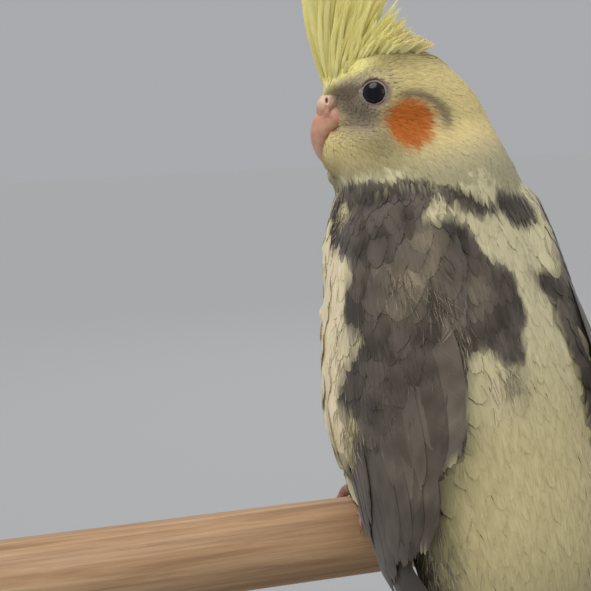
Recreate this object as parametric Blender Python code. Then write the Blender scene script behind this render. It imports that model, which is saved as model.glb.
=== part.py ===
"""A life-size cockatiel gripping a cut length of dowel, held over a round base by two rods.

The bird is modelled in its own frame, in millimetres until a mesh is made: +Y is the way its
breast faces, +X its right side, +Z up, and the origin is the middle of the perch's top. One
empty lifts that frame to the height at which the whole tail clears the base. The body is one
loft, parted into head, neck and torso by thin cuts. Wings, tail and crest are cores with their
feathers fused in one by one.
"""

import math
import random

import bmesh
import bpy
from mathutils import Vector

MM = 0.001
GAP = 0.3  # between neighbouring nodes
SEAT = 0.35  # how far a neighbour is swelled before it cuts a node
FLAT_WITHIN = math.radians(4)

# The perch runs across the bird, turned a little, and the stand holds it up
PERCH_RADIUS = 11.0
PERCH_HALF_LENGTH = 122.0
PERCH_TURN = math.radians(-18)
PERCH_DIRECTION = Vector((math.cos(PERCH_TURN), math.sin(PERCH_TURN), 0))
ROD_RADIUS = 3.0
ROD_AT = 84.0
BASE_RADIUS = 104.0
BASE_THICKNESS = 12.0
TAIL_CLEARANCE = 5.0

# The head is turned to the bird's left. u runs forward from the eyes, v up and w to its left
HEAD_TURN = math.radians(60)
EYE_MIDDLE = Vector((-10.6, 4.7, 113.0))
HEAD_FORWARD = Vector((-math.sin(HEAD_TURN), math.cos(HEAD_TURN), 0))
HEAD_LEFT = Vector((-math.cos(HEAD_TURN), -math.sin(HEAD_TURN), 0))
UP = Vector((0, 0, 1))
EYE_RADIUS = 4.3
EYE_OUT = 10.2
EYE_TILT = math.radians(14)
EYE_FACING = HEAD_LEFT * math.cos(EYE_TILT), HEAD_FORWARD * math.sin(EYE_TILT)
LID_RADIUS = 3.7

# Body stations from the vent to the collar: y, z, lean of the slice, half width, belly, back
BODY_STATIONS = [
    (-49.0, -36.0, 24, 10.0, 5.0, 5.5),
    (-46.5, -26.0, 25, 19.5, 11.0, 11.0),
    (-42.5, -13.0, 26, 24.5, 17.0, 15.0),
    (-38.0, 0.0, 26, 26.5, 23.5, 17.0),
    (-33.0, 14.0, 25, 28.5, 30.0, 19.0),
    (-25.5, 34.0, 22, 30.5, 34.0, 21.5),
    (-17.0, 56.0, 18, 29.5, 32.5, 23.5),
    (-11.0, 76.0, 12, 26.5, 27.0, 24.0),
]
# Neck stations: x, y, z, lean, half width, front, back, turn
NECK_STATIONS = [
    (-1.0, -8.0, 88.0, 7, 23.5, 24.5, 24.5, 20),
    (-2.5, -5.0, 97.0, 2, 19.8, 23.6, 23.6, 45),
]
# Head stations: height v from the eyes, foremost u, rearmost u, half width
HEAD_STATIONS = [
    (-9.5, 12.4, -33.5, 16.6),
    (-4.5, 12.9, -31.0, 15.0),
    (0.0, 13.5, -28.5, 13.8),
    (4.2, 12.8, -24.6, 12.6),
    (8.2, 10.2, -20.0, 10.6),
    (11.0, 5.4, -14.8, 7.0),
    (12.4, -2.0, -8.0, 1.6),
]
BODY_SLICES = 32
BODY_SIDES = 26
ROUNDNESS = 2.2  # exponent of a slice's outline, 2 being an ellipse

# The surface that the folded wings lie on, from the shoulder to the wing's tip
WING_STATIONS = [
    (-9.0, 90.0, 8, 23.0, 20.0, 23.0),
    (-12.0, 77.0, 14, 29.0, 28.5, 24.6),
    (-17.0, 60.0, 18, 32.8, 34.5, 25.2),
    (-22.5, 43.0, 21, 35.2, 38.5, 25.2),
    (-28.0, 26.0, 23, 36.0, 39.5, 24.5),
    (-33.5, 9.0, 24, 34.8, 37.5, 22.5),
    (-38.5, -8.0, 24, 31.6, 33.5, 20.0),
    (-44.0, -26.0, 22, 26.0, 25.5, 16.0),
    (-50.0, -45.0, 20, 17.5, 14.5, 11.0),
    (-55.0, -64.0, 18, 13.0, 8.5, 8.0),
    (-59.5, -82.0, 16, 11.0, 6.5, 6.0),
]
# The wing's core: slice number, angle of its lower and upper edge, from 0 at the breast
WING_CORE = [
    (0.15, 84, 128),
    (0.6, 70, 150),
    (1.2, 64, 154),
    (2.0, 60, 148),
    (3.0, 62, 138),
    (4.0, 64, 126),
    (5.2, 66, 118),
    (6.6, 72, 116),
]
WING_DEPTH = 6.2  # from the lie down to the core's inner face

# Tiers of wing feathers, from the innermost out. Each row: name, number, root slice and angle
# of the first and last feather, tip slice and angle of both, width, thickness, lift, roll
WING_TIERS = [
    ("primaries", 5, (3.8, 72), (4.2, 100), (10.2, 106), (7.3, 106), 13.0, 0.7, (-1.4, -0.2), 6),
    ("secondaries", 4, (3.0, 70), (3.2, 106), (6.9, 78), (6.2, 110), 15.0, 0.7, (-1.0, 0.8), 5),
    ("tertials", 3, (2.0, 108), (2.2, 130), (5.5, 114), (4.7, 122), 15.0, 0.8, (-0.8, 1.5), 4),
    ("greater", 5, (2.3, 64), (2.3, 112), (4.4, 67), (4.2, 114), 14.5, 0.8, (-0.9, 1.6), 4),
    ("median", 5, (1.5, 63), (1.5, 126), (3.2, 65), (3.1, 124), 15.5, 0.8, (-0.9, 1.5), 4),
    ("lesser", 4, (0.6, 78), (0.7, 132), (2.2, 68), (2.1, 134), 17.0, 0.8, (-0.9, 1.3), 3),
    ("scapulars", 3, (0.7, 142), (1.5, 152), (2.6, 147), (3.8, 145), 16.0, 0.8, (-0.9, 1.7), 2),
]

# Tail
TAIL_ROOT = Vector((0, -46.5, -30.0))
TAIL_DROP = math.radians(75)
TAIL_DIRECTION = Vector((0, -math.cos(TAIL_DROP), -math.sin(TAIL_DROP)))
TAIL_OUT = Vector((0, -math.sin(TAIL_DROP), math.cos(TAIL_DROP)))
TAIL_LENGTHS = [148.0, 127.0, 111.0, 99.0, 89.0, 80.0]  # from the middle pair outwards
TAIL_WIDTH = 11.0

# Crest: from the forehead back, each row a feather on either side of the midline
CREST_ROWS = 11
CREST_LONGEST = 52.0
CREST_SHORTEST = 9.0
CREST_BEND = math.radians(42)
CREST_FRONT = math.radians(30)
CREST_BACK = math.radians(112)
CROWN_CENTRE = (-3.5, -6.2)
CROWN_RADIUS = 18.2

# Feet
FOOT_AT = 18.0
TOE_RADIUS = 1.7
# Toes: angle along the perch, length round it, sign of the side that it goes to
TOES = [(-13, 19.0, 1), (14, 15.0, 1), (-16, 17.0, -1), (15, 11.0, -1)]
CLAW_LENGTH = 6.0

PERCH_TOP = (
    BASE_THICKNESS
    + TAIL_CLEARANCE
    - (TAIL_ROOT + TAIL_DIRECTION * TAIL_LENGTHS[0]).z
)

for old in list(bpy.data.objects):
    bpy.data.objects.remove(old, do_unlink=True)
bird = bpy.data.collections.new("cockatiel")
bpy.context.scene.collection.children.link(bird)


def material(name, colour, roughness=0.8, metallic=0.0):
    made = bpy.data.materials.new(name)
    made.use_nodes = True
    shader = made.node_tree.nodes["Principled BSDF"]
    shader.inputs["Base Color"].default_value = (*colour, 1)
    shader.inputs["Roughness"].default_value = roughness
    shader.inputs["Metallic"].default_value = metallic
    return made


YELLOW = material("yellow_plumage", (0.80, 0.74, 0.38))
CREAM = material("cream_plumage", (0.78, 0.74, 0.52))
GREY = material("grey_plumage", (0.19, 0.17, 0.155))
HORN = material("bill_horn", (0.72, 0.45, 0.38), 0.45)
SKIN = material("pink_skin", (0.66, 0.36, 0.32), 0.6)
EYE = material("dark_eye", (0.010, 0.010, 0.014), 0.08)
WOOD = material("dowel_wood", (0.60, 0.41, 0.23), 0.6)
BOARD = material("base_board", (0.05, 0.045, 0.04), 0.5)
STEEL = material("rod_steel", (0.60, 0.60, 0.62), 0.3, 1.0)


def mesh_object(name, bm, finish, home=bird):
    bm.normal_update()
    bmesh.ops.recalc_face_normals(bm, faces=bm.faces)
    mesh = bpy.data.meshes.new(name)
    bm.to_mesh(mesh)
    bm.free()
    mesh.materials.append(finish)
    made = bpy.data.objects.new(name, mesh)
    home.objects.link(made)
    return made


def between(stations, at):
    """The station at a fractional number, on a smooth curve through the listed ones."""
    at = min(max(at, 0.0), len(stations) - 1.0)
    first = min(int(at), len(stations) - 2)
    f = at - first
    before, a = stations[max(first - 1, 0)], stations[first]
    b, after = stations[first + 1], stations[min(first + 2, len(stations) - 1)]
    return [
        0.5 * (2 * q + (r - p) * f + (2 * p - 5 * q + 4 * r - s) * f**2 + (3 * q - p - 3 * r + s) * f**3)
        for p, q, r, s in zip(before, a, b, after)
    ]


def head_point(u, w, v):
    return EYE_MIDDLE + HEAD_FORWARD * u + HEAD_LEFT * w + UP * v


def slice_point(centre, lean, half_width, front, back, turn, angle):
    """A point of a slice's outline. angle runs from the breast, over the bird's left side."""
    lean = math.radians(lean)
    ahead = Vector((0, math.cos(lean), -math.sin(lean)))
    left = Vector((-1, 0, 0))
    local = angle - turn
    reach = front if math.cos(local) > 0 else back
    across = (abs(math.cos(local)) / reach) ** ROUNDNESS + (abs(math.sin(local)) / half_width) ** ROUNDNESS
    return centre + (ahead * math.cos(angle) + left * math.sin(angle)) * across ** (-1 / ROUNDNESS)


def body_slices():
    """Every slice of the body from the vent to the crown, as centre, lean, sizes and turn."""
    stations = [(0.0, y, z, lean, w, f, b, 0.0) for y, z, lean, w, f, b in BODY_STATIONS]
    stations += NECK_STATIONS
    for v, fore, rear, half_width in HEAD_STATIONS:
        centre = head_point((fore + rear) / 2, 0, v)
        reach = (fore - rear) / 2
        stations.append((*centre, 0, half_width, reach, reach, math.degrees(HEAD_TURN)))
    last = len(stations) - 1
    return [between(stations, last * i / (BODY_SLICES - 1)) for i in range(BODY_SLICES)]


def closed_loft(name, rings, finish, home=bird):
    """Rings of equally many points joined by quads, with a fan over each end."""
    bm = bmesh.new()
    rows = [[bm.verts.new(p * MM) for p in ring] for ring in rings]
    for lower, upper in zip(rows, rows[1:]):
        for i in range(len(lower)):
            j = (i + 1) % len(lower)
            bm.faces.new((lower[i], lower[j], upper[j], upper[i]))
    for row, ring in ((rows[0], rings[0]), (rows[-1], rings[-1])):
        tip = bm.verts.new(sum(ring, Vector()) / len(ring) * MM)
        for i in range(len(row)):
            bm.faces.new((row[i], row[(i + 1) % len(row)], tip))
    return mesh_object(name, bm, finish, home)


def tube_rings(path, radii, sides, flatten=1.0):
    """Rings round a path of points, each square to it. flatten squeezes them across its first bend."""
    rings = []
    side = None
    for i, point in enumerate(path):
        ahead = (path[min(i + 1, len(path) - 1)] - path[max(i - 1, 0)]).normalized()
        if side is None:
            side = ahead.orthogonal().normalized()
        side = (side - ahead * side.dot(ahead)).normalized()
        other = ahead.cross(side)
        turns = [2 * math.pi * k / sides for k in range(sides)]
        rings.append(
            [point + (side * math.cos(t) + other * math.sin(t) * flatten) * radii[i] for t in turns]
        )
    return rings


# Feather outlines: how far along, and how much of the full width there
ROUND_TIP = ((0.0, 0.6), (0.45, 1.0), (0.84, 0.9), (1.0, 0.36))
LONG_TIP = ((0.0, 0.55), (0.35, 0.95), (0.7, 1.0), (0.9, 0.72), (1.0, 0.2))
POINTED_TIP = ((0.0, 0.6), (0.4, 1.0), (0.78, 0.74), (1.0, 0.2))


def vane(name, place, width, thickness, shape, finish, home, ridge=0.0):
    """One feather as a closed plate. place(f) gives its middle, its outward and its side vector.

    Both faces are split along the same diagonals. ridge lifts the shaft above the edges.
    """
    bm = bmesh.new()
    rows = []
    for step, share in shape:
        middle, out, side = place(step)
        half = side * (width * share / 2)
        thick = out * (thickness / 2)
        rise = out * ridge
        corners = [middle - half + thick, middle + thick + rise, middle + half + thick]
        corners += [middle + half - thick, middle - thick + rise, middle - half - thick]
        if not ridge:
            corners = [corners[k] for k in (0, 2, 3, 5)]
        rows.append([bm.verts.new(p * MM) for p in corners])
    count = len(rows[0])
    for a, b in zip(rows, rows[1:]):
        for i in range(count):
            j = (i + 1) % count
            if i < count // 2 - 1 or i == count - 1:
                bm.faces.new((a[i], a[j], b[j]))
                bm.faces.new((a[i], b[j], b[i]))
            else:
                bm.faces.new((a[i], a[j], b[i]))
                bm.faces.new((a[j], b[j], b[i]))
    bm.faces.new(rows[0])
    bm.faces.new(rows[-1])
    return mesh_object(name, bm, finish, home)


def applied(obj):
    """Replaces the object's mesh by its evaluated one."""
    graph = bpy.context.evaluated_depsgraph_get()
    mesh = bpy.data.meshes.new_from_object(obj.evaluated_get(graph))
    obj.modifiers.clear()
    obj.data = mesh
    return obj


def boolean(obj, operation, other, solver="MANIFOLD"):
    """Cuts or joins the object with another object or a whole collection, and applies it."""
    modifier = obj.modifiers.new("join", "BOOLEAN")
    modifier.operation = operation
    modifier.solver = solver
    if isinstance(other, bpy.types.Collection):
        modifier.operand_type = "COLLECTION"
        modifier.collection = other
    else:
        modifier.object = other
    return applied(obj)


def swelled(obj, by=SEAT):
    """A copy with each vertex moved outwards, for cutting a neighbour so that a gap is left."""
    copy = bpy.data.objects.new(obj.name + "_swelled", obj.data.copy())
    bpy.context.scene.collection.objects.link(copy)
    bm = bmesh.new()
    bm.from_mesh(copy.data)
    bm.normal_update()
    shifts = [v.normal * (by * MM) for v in bm.verts]
    for v, shift in zip(bm.verts, shifts):
        v.co += shift
    bm.to_mesh(copy.data)
    bm.free()
    return copy


def cut_by(obj, *neighbours):
    """Cuts the object back from each neighbour, leaving the gap."""
    for neighbour in neighbours:
        cutter = swelled(neighbour)
        boolean(obj, "DIFFERENCE", cutter)
        bpy.data.objects.remove(cutter)
    return obj


def keep_largest(obj):
    """Keeps the largest closed surface of the mesh."""
    bm = bmesh.new()
    bm.from_mesh(obj.data)
    left = set(bm.verts)
    shells = []
    while left:
        todo = [left.pop()]
        shell = set(todo)
        while todo:
            for edge in todo.pop().link_edges:
                for v in edge.verts:
                    if v not in shell:
                        shell.add(v)
                        left.discard(v)
                        todo.append(v)
        shells.append(shell)
    shells.sort(key=len)
    for shell in shells[:-1]:
        bmesh.ops.delete(bm, geom=list(shell), context="VERTS")
    bm.to_mesh(obj.data)
    bm.free()
    return obj


def tidied(obj):
    """Merges the slivers that a union leaves on flat faces."""
    bm = bmesh.new()
    bm.from_mesh(obj.data)
    bmesh.ops.dissolve_limit(
        bm,
        angle_limit=FLAT_WITHIN,
        use_dissolve_boundaries=False,
        verts=bm.verts,
        edges=bm.edges,
    )
    bmesh.ops.triangulate(bm, faces=bm.faces)
    bm.to_mesh(obj.data)
    bm.free()
    return obj


def fused(core, make_pieces):
    """Joins the pieces that make_pieces adds to a collection with the core, in one union."""
    pieces = bpy.data.collections.new(core.name + "_pieces")
    bpy.context.scene.collection.children.link(pieces)
    make_pieces(pieces)
    boolean(core, "UNION", pieces)
    for piece in list(pieces.objects):
        bpy.data.objects.remove(piece)
    bpy.data.collections.remove(pieces)
    return tidied(keep_largest(core))


def halved(obj, name, above=None, below=None):
    """A copy of a closed object with only what lies above one plane and below another."""
    bm = bmesh.new()
    bm.from_mesh(obj.data)
    for plane, sign in ((above, -1), (below, 1)):
        if plane is None:
            continue
        point, normal = plane
        cut = bmesh.ops.bisect_plane(
            bm,
            geom=list(bm.verts) + list(bm.edges) + list(bm.faces),
            plane_co=point * MM,
            plane_no=normal * sign,
            dist=1e-7,
            clear_outer=True,
        )
        rim = [g for g in cut["geom_cut"] if isinstance(g, bmesh.types.BMEdge)]
        bmesh.ops.edgeloop_fill(bm, edges=rim)
    bmesh.ops.triangulate(bm, faces=bm.faces)
    return mesh_object(name, bm, obj.data.materials[0])


def plane(front, back, shift=0.0):
    """A cut across the neck through a point below the throat and one on the nape."""
    along = (back - front).normalized()
    normal = HEAD_LEFT.cross(along)
    normal = normal if normal.z > 0 else -normal
    return front + normal * shift, normal


# The body in one loft, then parted
def make_body():
    rings = []
    for x, y, z, lean, half_width, front, back, turn in body_slices():
        centre = Vector((x, y, z))
        turns = [2 * math.pi * k / BODY_SIDES for k in range(BODY_SIDES)]
        rings.append(
            [slice_point(centre, lean, half_width, front, back, math.radians(turn), t) for t in turns]
        )
    return closed_loft("body", rings, CREAM)


def make_head(whole):
    head = halved(whole, "head", above=plane(head_point(12, 0, -18.5), head_point(-32, 0, -11.0), GAP / 2))
    head.data.materials.clear()
    head.data.materials.append(YELLOW)
    for side, eye in eye_places():
        facing = EYE_FACING[0] * side + EYE_FACING[1]
        bpy.ops.mesh.primitive_torus_add(
            major_radius=LID_RADIUS * MM,
            minor_radius=0.9 * MM,
            major_segments=14,
            minor_segments=6,
            location=(eye + facing * 2.9) * MM,
            rotation=facing.to_track_quat("Z", "Y").to_euler(),
        )
        lid = bpy.context.object
        boolean(head, "UNION", lid)
        bpy.data.objects.remove(lid)
    return head


def eye_places():
    return [(side, head_point(-0.9, side * EYE_OUT, -0.4)) for side in (1, -1)]


def make_eye(name, centre):
    bm = bmesh.new()
    bmesh.ops.create_uvsphere(bm, u_segments=16, v_segments=10, radius=EYE_RADIUS * MM)
    turn = HEAD_LEFT.to_track_quat("Z", "Y")
    for v in bm.verts:
        v.co = turn @ v.co + centre * MM
    return mesh_object(name, bm, EYE)


# Bill and cere. The culmen is an arc in the head's middle plane
BILL_CENTRE = (5.6, -8.6)
BILL_ARC = 10.7
# Angle on the arc, depth towards its centre, width
BILL_STATIONS = [
    (78, 9.0, 7.0),
    (40, 9.6, 9.6),
    (8, 8.4, 9.2),
    (-18, 6.2, 7.0),
    (-38, 3.4, 4.0),
    (-54, 1.0, 1.0),
]


def make_bill_upper():
    rings = []
    for i in range(9):
        angle, depth, width = between(BILL_STATIONS, i * (len(BILL_STATIONS) - 1) / 8)
        angle = math.radians(angle)
        ring = []
        for k in range(12):
            t = 2 * math.pi * k / 12
            reach = BILL_ARC - depth / 2 + depth / 2 * math.cos(t)
            # the sides are fullest low down, so that the culmen stays narrow
            across = width / 2 * math.sin(t) * (1 - 0.18 * math.cos(t))
            u = BILL_CENTRE[0] + reach * math.cos(angle)
            v = BILL_CENTRE[1] + reach * math.sin(angle)
            ring.append(head_point(u, across, v))
        rings.append(ring)
    return closed_loft("bill_upper", rings, HORN)


def make_bill_lower():
    """A short scoop that shuts behind the hook of the upper bill."""
    rings = []
    for f in (0.0, 0.3, 0.6, 0.85, 1.0):
        middle = (4.0 + 9.2 * f, -15.0 + 1.4 * f * f)
        high, half_width = 2.8 - 1.9 * f**2, 4.4 - 2.0 * f**2
        turns = [2 * math.pi * k / 10 for k in range(10)]
        rings.append(
            [head_point(middle[0], half_width * math.sin(t), middle[1] + high * math.cos(t)) for t in turns]
        )
    return closed_loft("bill_lower", rings, HORN)


def ellipsoid(name, centre, sizes, finish, segments=16, rings=10, home=bird):
    """An ellipsoid in the head's own directions."""
    bm = bmesh.new()
    bmesh.ops.create_uvsphere(bm, u_segments=segments, v_segments=rings, radius=1)
    for v in bm.verts:
        u, w, up = (c * s for c, s in zip(v.co, sizes))
        v.co = (head_point(*centre) + HEAD_FORWARD * u + HEAD_LEFT * w + UP * up) * MM
    return mesh_object(name, bm, finish, home)


def make_cere():
    cere = ellipsoid("cere", (11.6, 0, -2.2), (3.9, 5.2, 3.0), SKIN)
    for side in (1, -1):
        nostril = ellipsoid("nostril", (13.4, side * 3.5, -1.2), (1.0, 1.5, 0.65), SKIN, 10, 6)
        boolean(cere, "DIFFERENCE", nostril)
        bpy.data.objects.remove(nostril)
    return cere


# Crest
def make_crest():
    chance = random.Random(5)
    rings = []
    for i in range(8):
        f = i / 7
        angle = CREST_FRONT + (CREST_BACK - CREST_FRONT) * f
        bulk = math.sin(math.pi * (0.06 + 0.88 * f)) ** 0.5
        ring = []
        for k in range(12):
            t = 2 * math.pi * k / 12
            reach = CROWN_RADIUS + 2.6 * bulk * math.sin(t)
            u, v = CROWN_CENTRE[0] + reach * math.cos(angle), CROWN_CENTRE[1] + reach * math.sin(angle)
            ring.append(head_point(u, 6.4 * bulk * math.cos(t), v))
        rings.append(ring)
    pad = closed_loft("crest", rings, YELLOW)

    def feathers(home):
        for row in range(CREST_ROWS):
            f = row / (CREST_ROWS - 1)
            for side in (1, -1):
                length = CREST_SHORTEST + (CREST_LONGEST - CREST_SHORTEST) * (1 - f) ** 1.4
                length *= 1 + chance.uniform(-0.05, 0.05)
                rise = math.radians(72 + 84 * f**0.9 + chance.uniform(-2, 2))
                spread = side * (0.03 + 0.12 * f + chance.uniform(-0.02, 0.02))
                angle = CREST_FRONT + (CREST_BACK - CREST_FRONT) * (0.06 + 0.88 * f)
                start = (
                    CROWN_CENTRE[0] + CROWN_RADIUS * math.cos(angle),
                    side * (0.9 + 1.7 * (row % 2)),
                    CROWN_CENTRE[1] + CROWN_RADIUS * math.sin(angle),
                )
                crest_feather(home, f"crest_{row}_{side}", start, length, rise, spread)

    return fused(pad, feathers)


def crest_feather(home, name, start, length, rise, spread):
    """A narrow feather that leaves the crown at its rise and bends back towards its tip."""
    bend = CREST_BEND * length / CREST_LONGEST

    def place(f):
        # the mean of the bend up to here gives the chord, the bend itself the direction
        chord, angle = rise + bend * f / 2, rise + bend * f
        along = (math.cos(chord) * length * f, spread * length * f, math.sin(chord) * length * f)
        here = head_point(*(p + q for p, q in zip(start, along)))
        ahead = HEAD_FORWARD * math.cos(angle) + UP * math.sin(angle)
        across = (HEAD_LEFT * 0.5 + ahead.cross(HEAD_LEFT) * 0.85).normalized()
        return here, ahead.cross(across).normalized(), across

    width = 2.8 + 2.4 * length / CREST_LONGEST
    return vane(name, place, width, 0.7, POINTED_TIP, YELLOW, home)


# Wings
def wing_point(number, angle, lift, side):
    """A point over the wing's lie: slice number from the shoulder, angle from the breast, lift."""
    y, z, lean, half_width, front, back = between(WING_STATIONS, number)
    centre = Vector((0, y, z))
    turn = math.radians(angle)
    edge = slice_point(centre, lean, half_width, front, back, 0, turn)
    p = edge + (edge - centre).normalized() * lift
    return Vector((p.x * side, p.y, p.z))


def wing_frame(number, angle, side):
    """Outward and along directions there."""
    along = wing_point(number + 0.1, angle, 0, side) - wing_point(number - 0.1, angle, 0, side)
    round_ = wing_point(number, angle + 2, 0, side) - wing_point(number, angle - 2, 0, side)
    out = along.cross(round_).normalized()
    middle = Vector((0, between(WING_STATIONS, number)[0], wing_point(number, angle, 0, side).z))
    return -out if out.dot(wing_point(number, angle, 0, side) - middle) < 0 else out


def wing_vane(home, name, root, tip, width, thickness, lift, roll, shape, side, finish):
    def spot(f):
        number = root[0] + (tip[0] - root[0]) * f
        angle = root[1] + (tip[1] - root[1]) * f
        return number, angle, lift[0] + (lift[1] - lift[0]) * f**0.6

    def place(f):
        number, angle, height = spot(f)
        here = wing_point(number, angle, height, side)
        a, b = spot(max(f - 0.05, 0)), spot(min(f + 0.05, 1))
        ahead = (wing_point(*b, side) - wing_point(*a, side)).normalized()
        out = wing_frame(number, angle, side)
        out = (out - ahead * out.dot(ahead)).normalized()
        across = ahead.cross(out) * side
        turn = math.radians(roll)
        across, out = across * math.cos(turn) + out * math.sin(turn), out * math.cos(turn) - across * math.sin(turn)
        return here, out, across

    return vane(name, place, width, thickness, shape, finish, home)


def make_wing(name, side, seed):
    """side is 1 for the bird's left wing and -1 for its right."""
    chance = random.Random(seed)
    steps, slices = 8, 10
    outer, inner = [], []
    for i in range(slices + 1):
        number, low, high = between(WING_CORE, i * (len(WING_CORE) - 1) / slices)
        angles = [low + (high - low) * k / steps for k in range(steps + 1)]
        # the outer face sinks to nothing at both edges, and at both ends of the wing
        along = math.sin(math.pi * (0.06 + 0.88 * i / slices)) ** 0.5
        swell = [math.sin(math.pi * (0.04 + 0.92 * k / steps)) ** 0.5 for k in range(steps + 1)]
        deep = [WING_DEPTH if number < 5 else 3.0] * (steps + 1)
        top = [wing_point(number, a, -1.9 + 1.9 * s * along, side) for a, s in zip(angles, swell)]
        bottom = [wing_point(number, a, -d, side) for a, d in zip(angles, deep)]
        outer.append(top)
        inner.append(bottom[::-1])
    core = closed_loft(name, [a + b for a, b in zip(outer, inner)], GREY)

    def feathers(home):
        for tier, count, root_a, root_b, tip_a, tip_b, width, thickness, lift, roll in WING_TIERS:
            for k in range(count):
                f = k / (count - 1)
                root = [p + (q - p) * f for p, q in zip(root_a, root_b)]
                tip = [p + (q - p) * f for p, q in zip(tip_a, tip_b)]
                tip[0] += chance.uniform(-0.05, 0.05)
                tip[1] += chance.uniform(-1, 1)
                rise = 0.55 * k if tier in ("primaries", "secondaries", "tertials") else 0.0
                heights = (lift[0] + rise * 0.3, lift[1] + rise)
                shape = LONG_TIP if tier == "primaries" else ROUND_TIP
                wing_vane(home, f"{tier}_{k}", root, tip, width, thickness, heights, roll, shape, side, GREY)

    return fused(core, feathers)


# Tail
def make_tail():
    chance = random.Random(11)
    rings = []
    for f in (0.0, 0.25, 0.5, 0.75, 1.0):
        middle = TAIL_ROOT - TAIL_DIRECTION * 12 + TAIL_DIRECTION * (60 * f)
        wide, deep = 18.0 - 9.0 * f, 11.0 - 8.3 * f
        turns = [2 * math.pi * k / 14 for k in range(14)]
        rings.append([middle + Vector((wide * math.sin(t), 0, 0)) + TAIL_OUT * deep * math.cos(t) for t in turns])
    core = closed_loft("tail", rings, GREY)

    def tail_vane(home, name, start, length, width, sideways, layer, shape, roll, sag=0.0):
        def place(f):
            reach = start + (length - start) * f
            here = TAIL_ROOT + TAIL_DIRECTION * reach
            here += Vector((sideways[0] + (sideways[1] - sideways[0]) * f, 0, 0))
            here += TAIL_OUT * (layer[0] + (layer[1] - layer[0]) * f - sag * math.sin(math.pi * f))
            turn = math.radians(roll)
            across = Vector((math.cos(turn), 0, 0)) + TAIL_OUT * math.sin(turn)
            out = TAIL_OUT * math.cos(turn) - Vector((math.sin(turn), 0, 0))
            return here, out, across

        return vane(name, place, width, 0.8, shape, GREY, home)

    def feathers(home):
        for pair, length in enumerate(TAIL_LENGTHS):
            for side in (1, -1):
                sideways = (side * (2.0 + 1.3 * pair), side * (2.2 + 2.3 * pair))
                layer = (0.6 - 0.7 * pair + 0.35 * side, 0.2 - 0.8 * pair + 0.35 * side)
                long = length * (1 + (chance.uniform(-0.02, 0.0) if pair else 0))
                wide = TAIL_WIDTH - 0.3 * pair
                tail_vane(home, f"rectrix_{pair}_{side}", 6, long, wide, sideways, layer, LONG_TIP, -4 * side)
        for row, (start, tip, wide) in enumerate(((4, 56, 13), (-5, 34, 14))):
            for k in range(3):
                place = k - 1
                for face in (1, -1):
                    sideways = (place * 6.4, place * 6.6)
                    layer = (face * (5.0 + 1.2 * row), face * (3.6 + 1.9 * row))
                    tail_vane(home, f"covert_{row}_{k}_{face}", start, tip + chance.uniform(-3, 3), wide, sideways, layer, ROUND_TIP, -5 * place)

    return fused(core, feathers)


# Feet and legs
def perch_frame(along, angle, reach):
    """A point round the perch: distance along it, angle from its top towards the front, radius."""
    ahead = UP.cross(PERCH_DIRECTION)
    return PERCH_DIRECTION * along + ahead * (reach * math.sin(angle)) + UP * (reach * math.cos(angle) - PERCH_RADIUS)


def make_foot(name, side):
    centre = FOOT_AT * -side
    lie = PERCH_RADIUS + GAP + TOE_RADIUS + 0.25
    bm = bmesh.new()
    bmesh.ops.create_uvsphere(bm, u_segments=12, v_segments=8, radius=1)
    for v in bm.verts:
        x, y, z = v.co
        v.co = (perch_frame(centre + 3.4 * x, 3.6 * y / lie, lie + 0.5 + 1.9 * z)) * MM
    pad = mesh_object(name, bm, SKIN)

    def toes(home):
        for number, (slant, length, way) in enumerate(TOES):
            skew = math.tan(math.radians(slant)) * side * way
            path, radii = [], []
            for i in range(7):
                f = i / 6
                turn = way * length * f / lie
                path.append(perch_frame(centre + skew * (length * f + 1.5), turn, lie + 0.25 * math.sin(3 * math.pi * f) ** 2))
                radii.append(TOE_RADIUS * (1.0 - 0.26 * f) * (0.88 + 0.14 * abs(math.sin(3.5 * math.pi * f))))
            closed_loft(f"toe_{number}", tube_rings(path, radii, 6), SKIN, home)
            path, radii = [], []
            for i in range(4):
                f = i / 3
                turn = way * (length - 1.2 + CLAW_LENGTH * f) / lie
                path.append(perch_frame(centre + skew * (length + 1.5 + CLAW_LENGTH * f), turn, lie + 0.4 + 0.5 * math.sin(math.pi * f)))
                radii.append(1.05 * (1 - 0.72 * f))
            closed_loft(f"claw_{number}", tube_rings(path, radii, 5), SKIN, home)

    return fused(pad, toes)


def make_leg(name, side):
    ankle = perch_frame(FOOT_AT * -side, 0, PERCH_RADIUS + 3.4)
    hip = Vector((-12.5 * side, -11.0, 20.0))
    path = [hip + (ankle - hip) * f for f in (0, 0.3, 0.55, 0.75, 0.9, 1)]
    return closed_loft(name, tube_rings(path, (9.0, 8.6, 6.6, 4.2, 2.6, 2.3), 12), CREAM)


# Perch and stand
def cylinder(name, radius, depth, middle, finish, segments, turn=None):
    bm = bmesh.new()
    bmesh.ops.create_cone(bm, cap_ends=True, segments=segments, radius1=radius * MM, radius2=radius * MM, depth=depth * MM)
    rims = [e for e in bm.edges if abs(e.verts[0].co.z - e.verts[1].co.z) < 1e-9]
    bmesh.ops.bevel(bm, geom=rims, offset=min(1.2, radius * 0.3) * MM, segments=2, profile=0.5, affect="EDGES", material=-1)
    for v in bm.verts:
        if turn is not None:
            v.co = turn @ v.co
        v.co += middle * MM
    return mesh_object(name, bm, finish)


def make_perch():
    turn = PERCH_DIRECTION.to_track_quat("Z", "Y")
    return cylinder("perch", PERCH_RADIUS, 2 * PERCH_HALF_LENGTH, UP * -PERCH_RADIUS, WOOD, 32, turn)


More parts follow.
